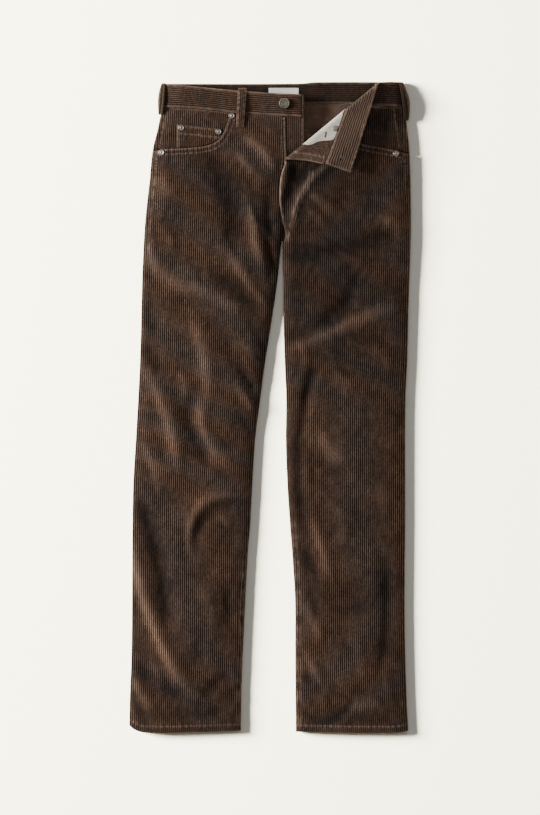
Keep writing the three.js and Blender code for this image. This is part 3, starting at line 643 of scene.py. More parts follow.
def cloth(name, o, m, grid, place, border, lift=0.0, wall=CLOTH, lines=(), rubbed=()):
    """One piece of corduroy: wales in its face, plain ground cloth behind."""
    x, cut_low, cut_high, y = grid
    back = place is back_point
    side, mid = edges(o, x, y, back)
    seam = joined(y)
    lift = (lift(o, x, y) if callable(lift) else lift) + 0 * x
    n = facing_out(place, o, x, y)
    n = np.where((side < AT_SEAM)[..., None], np.array([-o.sgn, 0.0, 0.0]), n)
    inward = np.stack([o.sgn * (1 - seam), 0 * y, (-seam if back else seam) + 1e-6], -1)
    n = np.where(((mid < AT_SEAM) & (seam < 1))[..., None], unit(inward), n)
    border = border(x, y)
    press, rub = stitched(x, y, lines)
    height = wale_height(m)[None, :] + 0 * x
    calm = smooth(0.2, 1.6, border) * (1 - 0.7 * np.minimum(1, np.maximum(0, press) / 0.5))
    level = 1.0 if back else 0.5
    top = PILE * (height * calm - level) - press - 0.7 * (1 - quarter(border, EDGE_ROUND))
    if back:
        top = np.minimum(top, 0)
    base = place(o, x, y)
    outer = base + n * (lift + top)[..., None]
    pick = slice(None, None, PER_WALE)
    wall = (wall(x, y) if callable(wall) else wall) + 0 * x
    inner = (base + n * (lift - wall)[..., None])[:, pick]
    # Painted light and shade by the folds: the colour is paler on fold crests and darker in fold hollows.
    painted_fold_light = 0 * x if back else relief(x, y)
    rub = rub + EDGE_RUB * np.exp(-(border / 1.3) ** 2) + 0.10 * np.maximum(0, wander(x, y, 33)) * height
    # Painted highlight on fold crests, added to the pale wear colour.
    rub = rub + 0.34 * np.maximum(0, painted_fold_light - 0.15) * height
    # Given lines are painted paler: worn pile and a painted highlight.
    for line in rubbed:
        rub = rub + 0.75 * np.exp(-(near(x, y, line)[0] / 1.9) ** 2)
    rub = np.clip(rub * (0.75 + 0.35 * wander(x, y, 9, 2.0)), 0, MOST_RUB)
    # Painted light and shade: the patches times the fold term, carried in the shade attribute.
    shade = 1.0 + 0 * x if back else np.clip(painted_light_and_shade(x, y) * (1 + 0.45 * painted_fold_light), 0.3, 1.7)
    return shell(name, outer, inner, CLOTH_PAIR, stand_in(cut_low, cut_high),
                 stand_in(cut_low[:, pick], cut_high[:, pick]), (o.sgn < 0) != back,
                 height * lerp(0.8, 1, calm), rub, 1, PER_WALE, shade)


def rows_between(a, b, step):
    return list(np.linspace(a, b, max(2, int(round(abs(b - a) / step)) + 1)))


def edge_line(edge, sgn, distance, y0, y1, step=12):
    """Line at a distance inside an edge given as x by y."""
    ys = np.array(rows_between(y0, y1, step))
    return np.stack([edge(ys) + sgn * distance, ys], -1)


def beside(line, distance):
    """Line moved to its left by a distance."""
    step = unit(np.gradient(line, axis=0))
    return line + distance * np.stack([-step[:, 1], step[:, 0]], -1)


def mouth_line(o, distance, x0, x1, count=60):
    xs = np.linspace(x0, x1, count)
    return beside(np.stack([xs, o.mouth(xs)], -1), -distance)


RIGHT.mouth_rows = [mouth_line(RIGHT, d, -186, -66.6) for d in (1.7, 8.6)]
LEFT.mouth_rows = [mouth_line(LEFT, d, 136, 226) for d in (1.7, 9.0)]
RIGHT.rows = RIGHT.mouth_rows + [
    edge_line(RIGHT.side, 1, 9.5, 255, 424), edge_line(RIGHT.inseam, -1, 3.0, HEM_Y + 14, -240),
    edge_line(RIGHT.inseam, -1, 8.5, HEM_Y + 14, -240), edge_line(RIGHT.fly, -1, 2.2, 395, 480)]
LEFT.rows = LEFT.mouth_rows + [
    edge_line(LEFT.side, -1, 9.5, 355, 418), edge_line(LEFT.inseam, 1, 3.5, HEM_Y + 14, -180),
    edge_line(LEFT.inseam, 1, 9.0, HEM_Y + 14, -180), edge_line(LEFT.fly, 1, 2.0, 276, 352),
    edge_line(LEFT.fly, 1, 7.0, 276, 300), edge_line(FLY_LINE, -1, 0, 300, 392),
    edge_line(FLY_LINE, -1, -6.0, 306, 392)]
RIGHT.rubbed = []
# Along the raised fly edge of the left front the pile is worn pale and a highlight is painted.
LEFT.rubbed = [edge_line(LEFT.fly, 1, 1.0, 336, 408, 5)]


def hem_height(o, x, y):
    """Height above the hem line."""
    share = np.clip(np.abs(x - o.side(y)) / np.abs(o.inseam(y) - o.side(y)), 0, 1)
    return y - HEM_Y - o.hem(share)


def front_top(o, gap):
    return lambda x: np.where(o.sgn * (x - o.mouth_end) < 0, o.mouth(x), o.band_low(x) - gap)


def front_border(o, gap):
    xs = np.linspace(-197, -66, 90) if o.sgn > 0 else np.linspace(133.2, 234, 90)
    mouth = np.stack([xs, o.mouth(xs)], -1)

    def border(x, y):
        side, mid = edges(o, x, y)
        waist = np.where(o.sgn * (x - o.mouth_end) < 0, 99, o.band_low(x) - gap - y)
        hem = np.where(y < -400, hem_height(o, x, y), 99)
        return np.maximum(0, np.minimum.reduce([side, mid, waist, hem, near(x, y, mouth)[0]]))

    return border


def hem_wall(_x, y):
    return np.where(y < HEM_Y + HEM_TURN + 1, 2 * CLOTH, CLOTH)


def creased_wall(x, y):
    """Wall whose inner side lies in soft level creases."""
    return CLOTH + 0.45 * wander(x * 0.22, y, 13) + 0.25 * wander(x * 0.4, y, 7, 1.1)


def hem_line(o):
    """The row of stitches round a hem."""
    share = np.linspace(0.015, 0.985, 40)
    y = HEM_Y + o.hem(share) + HEM_STITCH
    return np.stack([lerp(o.side(y), o.inseam(y), share), y], -1)


LEG_ROWS = [-541, -540.5, -539.5, -538, -535.5, -533, -530.5, -529, -527, -523] + rows_between(-516, 393, 7)
BACK_ROWS = [-541, -540.5, -539.5, -538, -534, -530, -528, -523] + rows_between(-512, 250, 15)
FRONT_SHARE = np.linspace(0, 1, 56)

for o, gap, width in ((RIGHT, GAP, 240), (LEFT, 2 * GAP, 228)):
    m = wale_columns(width)
    grid = panel_grid(o, m, LEG_ROWS, FRONT_SHARE, front_top(o, gap))
    cloth("front_" + o.name, o, m, grid, front_point, wall=hem_wall, border=front_border(o, gap),
          lines=o.rows + [hem_line(o)], rubbed=o.rubbed)

    m = wale_columns(250)
    levels = BACK_ROWS
    grid = panel_grid(o, m, levels, np.linspace(0, 1, 16), lambda x: YOKE_Y - GAP + 0 * x, back=True)

    def back_border(x, y, o=o):
        side, mid = edges(o, x, y, True)
        hem = np.where(y < -400, hem_height(o, x, y), 99)
        return np.maximum(0, np.minimum.reduce([side, mid, YOKE_Y - GAP - y, hem]))

    cloth("back_" + o.name, o, m, grid, back_point, wall=hem_wall, border=back_border,
          lines=[hem_line(o), edge_line(lambda y: CENTRE_BACK + 0 * y, -o.sgn, 2.5, 280, 458)])

    grid = panel_grid(o, m, None, np.linspace(0, 1, 20), lambda x: BACK_LOW(x) - GAP,
                      bottom=lambda x: YOKE_Y + 0 * x, back=True)

    def yoke_border(x, y, o=o):
        side, mid = edges(o, x, y, True)
        return np.maximum(0, np.minimum.reduce([side, mid, y - YOKE_Y, BACK_LOW(x) - GAP - y]))

    seam = np.stack([np.linspace(o.side(YOKE_Y) + o.sgn * 3, CENTRE_BACK - o.sgn, 40), np.full(40, YOKE_Y)], -1)
    cloth("yoke_" + o.name, o, m, grid, back_point, border=yoke_border, wall=creased_wall,
          lines=[seam + (0, 2.0), seam + (0, 7.5)])


# Waistband: one strip round the right front, the back, the left front and its folded end
def crossing(f, a, b, target):
    for _ in range(45):
        mid = (a + b) / 2
        a, b = (mid, b) if f(mid) < target else (a, mid)
    return (a + b) / 2


def seat_spread(t):
    return 1 - np.cos(math.pi * t / 2)


def leg_spread(t):
    return (1 - np.cos(math.pi * t)) / 2


def on_front(o, x, y):
    lift = BAND_LIFT * smooth(0, 12, edges(o, x, y)[0])
    return lifted(o, x, y, lift)


def band_stations():
    """Rows of (place, side, x at the top, x at the foot, y at the top, y at the foot)."""
    rows = []
    for t in np.linspace(0, 1, 46)[:-1]:
        g = seat_spread(1 - t)
        top, low = (lerp(RIGHT.side(y), BAND_END.right, g) for y in (530, 495))
        rows.append((on_front, RIGHT, top, low, RIGHT.band_top(top), RIGHT.band_low(low)))
    for t in np.linspace(0, 1, 71):
        g = leg_spread(t)
        top, low = (lerp(RIGHT.side(y), LEFT.side(y), g) for y in (538, 500))
        place = back_point if 0 < t < 1 else on_side
        rows.append((place, LEFT if t > 0.5 else RIGHT, top, low, BACK_TOP(top), BACK_LOW(low)))
    for t in np.linspace(0, 1, 16)[1:]:
        g = seat_spread(t)
        top, low = lerp(LEFT.side(540), 191, g), lerp(LEFT.side(500), 139.5, g)
        rows.append((on_front, LEFT, top, low, LEFT.band_top(top), LEFT.band_low(low)))
    turn = math.pi * FOLD.r
    for d in list(np.linspace(0, turn, 9)) + [12, 15, 18, 22]:
        top, low = (crossing(lambda v, edge=edge: beyond(v, edge(v)), 195, BAND_END.left_top, d)
                    for edge in (LEFT.band_top, LEFT.band_low))
        rows.append((on_front, LEFT, top, low, LEFT.band_top(top), LEFT.band_low(low)))
    top0, low0 = rows[-1][2:4]
    for t in np.linspace(0, 1, 24)[1:]:
        top, low = lerp(top0, BAND_END.left_top, t), lerp(low0, BAND_END.left_low, t)
        rows.append((on_front, LEFT, top, low, LEFT.band_top(top), LEFT.band_low(low)))
    return rows


def on_side(o, x, y):
    return np.stack([o.side(y), y + 0 * x, SEAM_Z + 0 * x], -1)


def grid_normals(points):
    du, dv = np.gradient(points, axis=0), np.gradient(points, axis=1)
    return unit(np.cross(du, dv))


def laid_strip(name, points, flip, thick, wales, pile, lines=(), back_wales=True, rub=0.35, back_rub=0.0,
               back_press=lambda along, across: 0 * across, tone=1.0, back_tone=1.0):
    """Closed strip from a grid of face points, wales running along its length on its face, and on its inner side
    when back_wales is on.

    points[i, j]: i along the strip, j across it. wales is the distance across it in mm at each j.
    lines are distances across at which a row of stitches lies.
    """
    n = grid_normals(points) * (-1 if flip else 1)
    across = wales[None, :] + np.zeros(points.shape[:2])
    along = np.concatenate([[0], np.cumsum(np.linalg.norm(np.diff(points[:, points.shape[1] // 2], axis=0),
                                                          axis=1))])[:, None] + 0 * across
    wide, long = across[0, -1], along[-1, 0]
    border = np.minimum(np.minimum(across, wide - across), np.minimum(along, long - along))
    height = wale_height(across + WALE * 0.5 + 0.35 * wander(along, across, 17, 0.6))
    calm = smooth(0.2, 1.5, border)
    press = np.zeros(points.shape[:2])
    wear = rub * np.exp(-(border / 1.3) ** 2)
    for at in lines:
        d = np.abs(across - at)
        wave = np.sin(along * 0.62 + at + 2 * np.sin(along * 0.13))
        press += 0.45 * np.exp(-(d / 0.8) ** 2) - 0.2 * np.exp(-(d / 4) ** 2) * wave
        wear += (0.28 + 0.2 * wave) * np.exp(-((d - 0.6) / 1.0) ** 2)
    turned_in = 0.6 * (1 - quarter(border, EDGE_ROUND))
    top = pile * (height * calm - 0.5) - press - turned_in
    under = pile * (height * calm - 0.5) * (1 if back_wales else 0) - turned_in
    under -= back_press(along, across)
    outer = points + n * top[..., None]
    inner = points - n * (thick + under)[..., None]
    wear = np.clip(wear * (0.7 + 0.4 * wander(along, across, 11, 1.0)), 0, 0.8)
    ridge = height * lerp(0.8, 1, calm)
    # In the buttonhole slit the inner face takes the valley's near black with no wear: painted shade in the slit.
    slot = np.minimum(1, np.maximum(0, back_press(along, across)))
    return shell(name, outer, inner, CLOTH_PAIR, flip=flip, ridge=ridge, wear=wear, inside=0,
                 # Both tone arguments paint shade onto the strip through the shade attribute: one for the face, one
                 # for the inner side.
                 shade=tone + 0 * ridge, painted_shade_in=back_tone + 0 * ridge,
                 ridge_in=ridge * (1 - slot) if back_wales else None,
                 wear_in=np.clip(wear + back_rub * height**3, 0, MOST_RUB) * (1 - slot) if back_wales else None)


stations = band_stations()
share = np.concatenate([[0, 0.02], np.linspace(0.04, 0.96, 56), [0.98, 1]])
points = np.stack([place(o, lerp(low_x, top_x, share), lerp(low_y, top_y, share))
                   for place, o, top_x, low_x, top_y, low_y in stations])
BAND_WIDE = 39.0
PAD = 1.7              # seam allowances that thicken the band's folded end
BAND_LONG = np.linalg.norm(np.diff(points[:, len(share) // 2], axis=0), axis=1).sum()
BUTTONHOLE = SimpleNamespace(along=BAND_LONG - 25.5, across=19.4, long=17.6, foot=np.array([44.6, 502.6]),
                             run=np.array([0.9995, 0.03]))
turned_over = np.array([smooth(4, 12, beyond(top_x, top_y)) if o is LEFT and place is on_front else 0.0
                        for place, o, top_x, _low_x, top_y, _low_y in stations])[:, None]


def buttonhole(along, across):
    """Depth of the slit in the folded end's inner side."""
    d = np.hypot(np.maximum(0, np.abs(along - BUTTONHOLE.along) - BUTTONHOLE.long / 2),
                 across - BUTTONHOLE.across)
    return 1.3 * np.exp(-(d / 0.9) ** 2)


# The band's inner face carries painted shade: half its tone inside the waist, a little darker on the folded end.
laid_strip("waistband", points, True, BAND + PAD * turned_over, share * BAND_WIDE, PILE,
           lines=(2.0, BAND_WIDE - 2.2), back_rub=0.26 * turned_over, back_press=buttonhole,
           back_tone=0.5 + 0.36 * turned_over)


# Pieces inside the pocket mouths
FACING = {
    "right": SimpleNamespace(
        o=RIGHT, end=lambda y: -58 + 0 * y,
        low=curve([(-197, 427.2), (-186, 429), (-181, 428.4), (-172, 421.5), (-133, 423), (-108, 425),
                   (-88, 431), (-73, 446), (-65.5, 464), (-60.5, 480), (-58, 484)])),
    "left": SimpleNamespace(
        o=LEFT, end=curve([(440, 122), (455, 126), (497, 137)]),
        low=curve([(126, 458), (131, 445), (138, 434), (150, 428.5), (168, 425.5), (189, 421.5), (205, 418),
                   (209, 418), (216, 425.4), (226, 424), (233, 422)])),
}


def side_lift(o, x, y):
    return (UNDER - 0.6) * smooth(0, 11, edges(o, x, y)[0])


OUTSEAM_ROW = np.array([(-171.6, 496), (-177.4, 474.3), (-181.7, 451.1), (-184.9, 434.1)])[::-1]
OUTSEAM_ROW_LEFT = np.array([(206.2, 497), (208.4, 476.3), (211.2, 461.4), (214.5, 431.5)])[::-1]
for name, f in FACING.items():
    o = f.o
    m = wale_columns(150)
    grid = panel_grid(o, m, None, np.linspace(0, 1, 18), lambda x, o=o: o.band_low(x) - 2 * GAP,
                      bottom=f.low, high=f.end)

    def facing_border(x, y, o=o):
        return np.minimum(edges(o, x, y)[0], o.band_low(x) - 2 * GAP - y).clip(0)

    row = OUTSEAM_ROW if name == "right" else OUTSEAM_ROW_LEFT
    cloth("pocket_facing_" + name, o, m, grid, front_point, lift=side_lift, border=facing_border, lines=[row])


def plain_piece(name, o, x, y, lift, wall, lines, rim):
    """Closed piece on a grid x[i, j], y[i, j] of the pattern, wales along j. rim tells its cut edges."""
    x, y = np.broadcast_arrays(x, y)
    lift = (lift(o, x, y) if callable(lift) else lift) + 0 * x
    base, n = front_point(o, x, y), facing_out(front_point, o, x, y)
    du = np.concatenate([[0], np.cumsum(np.hypot(*(np.diff(a[:, a.shape[1] // 2]) for a in (x, y))))])
    dv = np.concatenate([[0], np.cumsum(np.hypot(*(np.diff(a[a.shape[0] // 2]) for a in (x, y))))])
    u, v = du[:, None] + 0 * x, dv[None, :] + 0 * x
    sides = [u, du[-1] - u, v, dv[-1] - v]
    border = np.minimum.reduce([s if on else 99 + 0 * u for s, on in zip(sides, rim)])
    press, rub = stitched(x, y, lines)
    height = wale_height(u)
    calm = smooth(0.2, 1.5, border)
    top = PILE * (height * calm - 0.5) - press - 0.5 * min(1, wall) * (1 - quarter(border, 1.3))
    rub = np.clip((rub + EDGE_RUB * np.exp(-(border / 1.2) ** 2)) * (0.8 + 0.3 * wander(x, y, 9)), 0, 0.8)
    return shell(name, base + n * (lift + top)[..., None], base + n * (lift - wall)[..., None], CLOTH_PAIR,
                 ridge=height * lerp(0.8, 1, calm), wear=rub)


def block(x0, x1, low, top, step=WALE / PER_WALE, rise=3.0):
    """Pattern grid between two upright lines, from a lower to an upper edge."""
    xs = np.array(rows_between(x0, x1, step))[:, None]
    y0, y1 = (edge(xs) if callable(edge) else edge + 0 * xs for edge in (low, top))
    share = np.linspace(0, 1, max(3, int(np.max(y1 - y0) / rise)))[None, :]
    return xs + 0 * share, lerp(y0, y1, share)


COIN = SimpleNamespace(x0=-154.6, x1=-81.0, y0=470.5, y1=462.0)


def coin_top(x):
    return lerp(COIN.y0, COIN.y1, (x - COIN.x0) / (COIN.x1 - COIN.x0))


x, y = block(COIN.x0, COIN.x1, lambda x: RIGHT.mouth(x) + 1.4, coin_top)
coin_rows = [np.stack([xs, coin_top(xs) - d], -1) for xs in [np.linspace(-153, -83, 30)] for d in (2.2, 14.5)]
coin_rows.append(np.array([(-151.5, 432), (-152, 468)]))
plain_piece("coin_pocket", RIGHT, x, y, lambda o, x, y: side_lift(o, x, y) + GAP + LINING, LINING,
            lines=coin_rows, rim=(True, True, False, True))

shield_low = curve([(8, 403), (24, 407), (40, 417), (56.5, 432)])


def shield_lift(o, x, y):
    return UNDER - 2 * smooth(20, 30, x) * (1 - smooth(4, 18, beyond(x, y)))


x, y = block(8, 56.5, shield_low, lambda x: RIGHT.band_low(x) - GAP)
plain_piece("fly_shield_right", RIGHT, x, y, shield_lift, CLOTH,
            lines=[np.array([(53.5, 432), (53.5, 481)])], rim=(False, True, False, False))


# Linings of the turned-back corner, on rows that run along the fold
def on_row(d, t):
    """Pattern point at distance d past the fold, share t of the way from the waist seam to the fly edge."""
    o, gap = LEFT, 2 * GAP
    xa = crossing(lambda v: beyond(v, o.band_low(v) - gap), 139, 29.3, d)
    yb = crossing(lambda v: beyond(o.fly(v), v), 396, 476.9, d)
    a, b = np.array([xa, o.band_low(xa) - gap]), np.array([o.fly(yb), yb])
    return a + (b - a) * np.asarray(t)[..., None], a, b


def lining(name, depths, start, stop, materials, pile, columns, lines=(), edge_rub=EDGE_RUB):
    """Thin layer under the turned-back cloth, its rows running from start to stop, shares of each row."""
    rows = []
    for d in depths:
        _p, a, b = on_row(d, 0.0)
        t0, t1 = start(d, a, b), stop(d, a, b)
        t = np.linspace(t0, t1, columns)
        rows.append(on_row(d, t)[0])
    grid = np.stack(rows, 1)
    x, y = grid[..., 0], grid[..., 1]
    base, n = front_point(LEFT, x, y), facing_out(front_point, LEFT, x, y)
    edge = np.minimum(np.hypot(x - x[-1:], y - y[-1:]), 99)
    press, rub = stitched(x, y, lines)
    hem = 1 - smooth(10, 12, edge)
    height = lerp(0.72 + 0.2 * wander(x, y, 5), wale_height(edge + 1.7), hem)
    top = pile * (height - 0.5) + 0.5 * pile * hem
    wear = np.clip(rub + edge_rub * np.exp(-(edge / 1.6) ** 2) + 0.08 + 0.1 * wander(x, y, 8, 1.4), 0, 0.8)
    inner = base + n * (UNDER - LINING - (top - press))[..., None]
    return shell(name, inner, base + n * UNDER, materials, ridge=height, wear=wear)


def share_at(line):
    """Share along a row at which x falls to the line x by y, or 0 where the row starts beyond it."""
    def at(_d, a, b):
        def gap(t):
            return line(a[1] + (b[1] - a[1]) * t) - (a[0] + (b[0] - a[0]) * t)

        return 0.0 if gap(0.0) > 0 else crossing(gap, 0, 1, 0)

    return at


TURN = math.pi * FOLD.r
DEPTHS = list(np.linspace(0, TURN, 9)) + [12, 14, 16, 18, 20, 22, 24, 26, 28, 31, 34, 37, 40, 43, 46, 49, 51.5]
lining("fly_facing_left", DEPTHS, share_at(FLY_LINE), lambda d, a, b: 0.985, CLOTH_PAIR, 0.5, 90,
       lines=[edge_line(LEFT.fly, 1, 11.5, 404, 474, 4)], edge_rub=0.5)


def bag_start(d, a, b):
    return max(0.01, share_at(lambda y: FACING["left"].end(y) - 0.8)(d, a, b))


lining("pocket_bag_left", [d for d in DEPTHS if d <= 31], bag_start, share_at(lambda y: FLY_LINE(y) + 1),
       [TWILL, TWILL], 0.0, 24)


# Belt loops, wales along them; the front loop has stitch hollows pressed down both edges
def rise(y):
    return BAND_LIFT * smooth(486, 492, y) + 2.2 * np.sin(math.pi * np.clip((y - 466) / 62, 0, 1))


LOOP = 2.0             # thickness of a belt loop
LOOP_WIDE = 14.0
ys = np.array(rows_between(464.7, 530, 1.6))
t = np.linspace(0, 1, 20)
x = lerp(lerp(-56.5, -52.9, (ys - 464.7) / 65.3), lerp(-42.7, -38.6, (ys - 464.7) / 65.3), t[:, None])
y = ys[None, :] + 0 * x
points = lifted(RIGHT, x, y, rise(y) + GAP + LOOP)
laid_strip("belt_loop_front_right", points.transpose(1, 0, 2), True, LOOP, t * LOOP_WIDE, 0.55,
           lines=(2.2, LOOP_WIDE - 2.2), back_wales=False)


LOOP_REACH = SimpleNamespace(back=10.0, front=4.0)     # how far a side loop comes round


def side_loop(name, o, y0, y1, out):
    ks = np.concatenate([np.linspace(0.42, 0, 9)[:-1], np.linspace(0, -1, 18)])[:, None]
    ys = np.array(rows_between(y0, y1, 2.0))[None, :]
    x = o.side(ys) + o.sgn * np.where(ks > 0, LOOP_REACH.back, LOOP_REACH.front) * ks * ks
    z = np.where(ks > 0, back_z(o, x, ys), np.where(ks < 0, front_z(o, x, ys), SEAM_Z))
    tilt = np.maximum(-0.5, ks) * math.pi * np.where(ks > 0, 0.15, 0.9)
    away = GAP + BAND_LIFT + LOOP + out * np.sin(math.pi * (ys - y0) / (y1 - y0))
    points = np.stack([x - o.sgn * away * np.cos(tilt), ys + 0 * x, z - away * np.sin(tilt)], -1)
    # tone=0.55 paints shade on both side loops, darkening them.
    return laid_strip(name, points.transpose(1, 0, 2), o.sgn > 0, LOOP, np.linspace(0, LOOP_WIDE, len(ks)), 0.5,
                      back_wales=False, rub=0.1, tone=0.55)


side_loop("belt_loop_side_right", RIGHT, 486, 539, 4.6)
side_loop("belt_loop_side_left", LEFT, 477, 541, 6.0)

x, y = np.meshgrid(np.linspace(-2, 48, 30), np.linspace(505.5, 531, 16), indexing="ij")
z = BAND + GAP + 0.9 + 0.25 * np.sin(x / 7) * np.sin(y / 9)
points = np.stack([x, y, z], -1)
label = shell("label_plain", points, points - (0, 0, 0.5), [TAPE, TAPE])


# Turned and small metal pieces
def turned(name, profile, x, y, o, lift, material, sides=40):
    """Piece turned from (radius, height) rows, standing on the cloth or hanging from its inside."""
    base = lifted(o, x, y, lift)
    outward = -1 if lift < UNDER else 1
    up = unit(lifted(o, x, y, lift + outward) - base)
    u = unit(np.cross(up, (0.0, 1.0, 0.0)))
    v = np.cross(up, u)
    rows = np.array(profile, float)
    angle = np.linspace(0, 2 * math.pi, sides, endpoint=False)
    ring = np.cos(angle)[:, None] * u + np.sin(angle)[:, None] * v
    points = base + rows[:, None, :1] * ring + rows[:, None, 1:] * up
    ids = np.arange(len(rows) * sides).reshape(len(rows), sides)
    ids[0], ids[-1] = ids[0, 0], ids[-1, 0]
    faces = grid_faces(np.concatenate([ids, ids[:, :1]], 1), False)
    uv = np.stack(np.meshgrid(np.linspace(0, 0.95, sides), np.linspace(0.02, 0.98, len(rows))), -1)
    return mesh_object(name, points.reshape(-1, 3), [(faces, 0)], [material], {}, uv.reshape(-1, 2), [True])


BUTTON = [(0, 0), (3, 0), (3, 2.2), (8.0, 2.2), (8.6, 2.6), (8.75, 3.2), (8.6, 3.8), (8.2, 4.1), (7.6, 4.2),
          (7.1, 4.1), (6.7, 3.9), (6.2, 3.8), (5.2, 3.8), (4.6, 3.9), (4.1, 3.95), (3.6, 3.85), (3.0, 3.75),
          (0, 3.7)]
RIVET = [(0, 0), (4.75, 0), (4.75, 0.5), (4.55, 0.9), (4.1, 1.05), (3.7, 0.95), (3.3, 0.6), (2.4, 0.5),
         (1.7, 0.7), (1.3, 1.2), (0.8, 1.35), (0, 1.4)]
CAP = [(0, 0), (4.9, 0), (4.9, 0.4), (4.5, 0.8), (3.2, 1.1), (1.6, 1.1), (0, 1.1)]
turned("button", BUTTON, 23.8, 504.3, RIGHT, BAND_LIFT + 0.5, BUTTON_METAL, 64)
for name, x, y, lift in (("rivet_pocket_top", -63.6, 484.2, 0.5), ("rivet_pocket_side", -180.2, 423.4, 0.7),
                         ("rivet_coin_left", -147.4, 464.4, -0.9), ("rivet_coin_right", -85.5, 457.8, -0.9)):
    turned(name, RIVET, x, y, RIGHT, lift, RIVET_METAL)
turned("rivet_pocket_left", RIVET, 208.8, 421.5, LEFT, 0.5, RIVET_METAL)
turned("rivet_cap_left", CAP, 91.5, 482.5, LEFT, UNDER - LINING - 0.5, RIVET_METAL)


def boxes(name, centres, frames, size, material):
    """Small blocks: centre, three directions each, and the size along them."""
    corners = np.array([(a, b, c) for a in (-0.5, 0.5) for b in (-0.5, 0.5) for c in (-0.5, 0.5)])
    points = centres[:, None, :] + np.einsum("kc,nci->nki", corners * size, frames)
    quads = np.array([(0, 1, 3, 2), (4, 6, 7, 5), (0, 4, 5, 1), (2, 3, 7, 6), (0, 2, 6, 4), (1, 5, 7, 3)])
    faces = (quads[None] + 8 * np.arange(len(centres))[:, None, None]).reshape(-1, 4)
    flat = points.reshape(-1, 3)
    uv = np.stack([np.linspace(0, 1, len(flat)), np.tile(np.linspace(0, 1, 8), len(centres))], -1)
    return mesh_object(name, flat, [(faces, 0)], [material], {}, uv, [False])


def local_frames(o, x, y, lift):
    """Centres on the cloth and their across, along and up directions."""
    n = facing_out(front_point, o, x, y)
    centre = front_point(o, x, y) + n * lift
    along = unit(lifted(o, x, y + 0.5, lift) - lifted(o, x, y - 0.5, lift))
    across = np.cross(along, n)
    return centre, np.stack([across, along, n], 1)


def zip_edge(y):
    return RIGHT.fly(y) - GAP / 2 + 0.5


ys = np.arange(408, 477.5, 1.7)
centre, frames = local_frames(RIGHT, zip_edge(ys) + 2.0 + 0.3 * (np.arange(len(ys)) % 2), ys, UNDER + GAP + 0.7)
boxes("zip_teeth", centre, frames, (3.0, 1.0, 1.3), TOOTH_METAL)
ys = np.array([479.3])
centre, frames = local_frames(RIGHT, zip_edge(ys) + 1.75, ys, UNDER + GAP + 0.8)
boxes("zip_stop", centre, frames, (3.5, 3.4, 1.6), TOOTH_METAL)
x, y = block(0, 6.5, 406.0, 482.0, 1.0, 3.0)
x = x + zip_edge(y) - 1.0
points = lifted(RIGHT, x, y, UNDER + GAP + 0.15 + 0 * x)
shell("zip_tape", points, points - facing_out(front_point, RIGHT, x, y) * 0.25, [ZIP_TAPE, ZIP_TAPE])


# Stitches
def stitch_ends(line):
    """Ends of the stitches along a line of pattern points."""
    length, fill = STITCH, 0.78
    line = np.asarray(line, float)
    run = np.concatenate([[0], np.cumsum(np.hypot(*np.diff(line, axis=0).T))])
    starts = np.arange(0.4, run[-1] - length * fill, length)
    return tuple(np.stack([np.interp(at, run, line[:, k]) for k in (0, 1)], -1)
                 for at in (starts, starts + length * fill))


def thread(name, pairs, radius=THREAD_RADIUS):
    """Stitches as small capsules between pairs of end points."""
    a, b = (np.concatenate(c) for c in zip(*pairs))
    axis = unit(b - a)
    u = unit(np.cross(axis, (0.31, 0.17, 1.0)))
    v = np.cross(axis, u)
    angle = np.arange(5) * 2 * math.pi / 5
    ring = np.cos(angle)[None, :, None] * u[:, None] + np.sin(angle)[None, :, None] * v[:, None]
    step = (b - a)[:, None]
    near_ring, far_ring = (a[:, None] + step * s + radius * ring for s in (0.14, 0.86))
    points = np.concatenate([a[:, None], near_ring, far_ring, b[:, None]], 1)
    k = np.arange(5)
    tri = np.full(5, -1)
    face = np.concatenate([np.stack([0 * k, 1 + (k + 1) % 5, 1 + k, tri], -1),
                           np.stack([1 + k, 1 + (k + 1) % 5, 6 + (k + 1) % 5, 6 + k], -1),
                           np.stack([6 + k, 6 + (k + 1) % 5, 0 * k + 11, tri], -1)])
    start = 12 * np.arange(len(a))[:, None, None]
    faces = np.where(face[None] < 0, -1, face[None] + start).reshape(-1, 4)
    side = math.ceil(math.sqrt(len(a)))
    cell = np.stack([np.arange(len(a)) % side, np.arange(len(a)) // side], -1)[:, None, :]
    spot = np.array([(0.1, 0.5)] + [(0.3, 0.15 + 0.16 * i) for i in range(5)]
                    + [(0.7, 0.15 + 0.16 * i) for i in range(5)] + [(0.9, 0.5)])[None]
    uv = (cell + spot) / side
    return mesh_object(name, points.reshape(-1, 3), [(faces, 0)], [THREAD], {}, uv.reshape(-1, 2), [True])


def sewn(o, lines, lift):
    """End points in space of the stitches along pattern lines."""
    return [tuple(lifted(o, p[:, 0], p[:, 1], lift + 0 * p[:, 0]) for p in stitch_ends(line)) for line in lines]


def band_row(edge, distance, x0, x1):
    xs = np.linspace(x0, x1, 80)
    return np.stack([xs, edge(xs) + distance], -1)


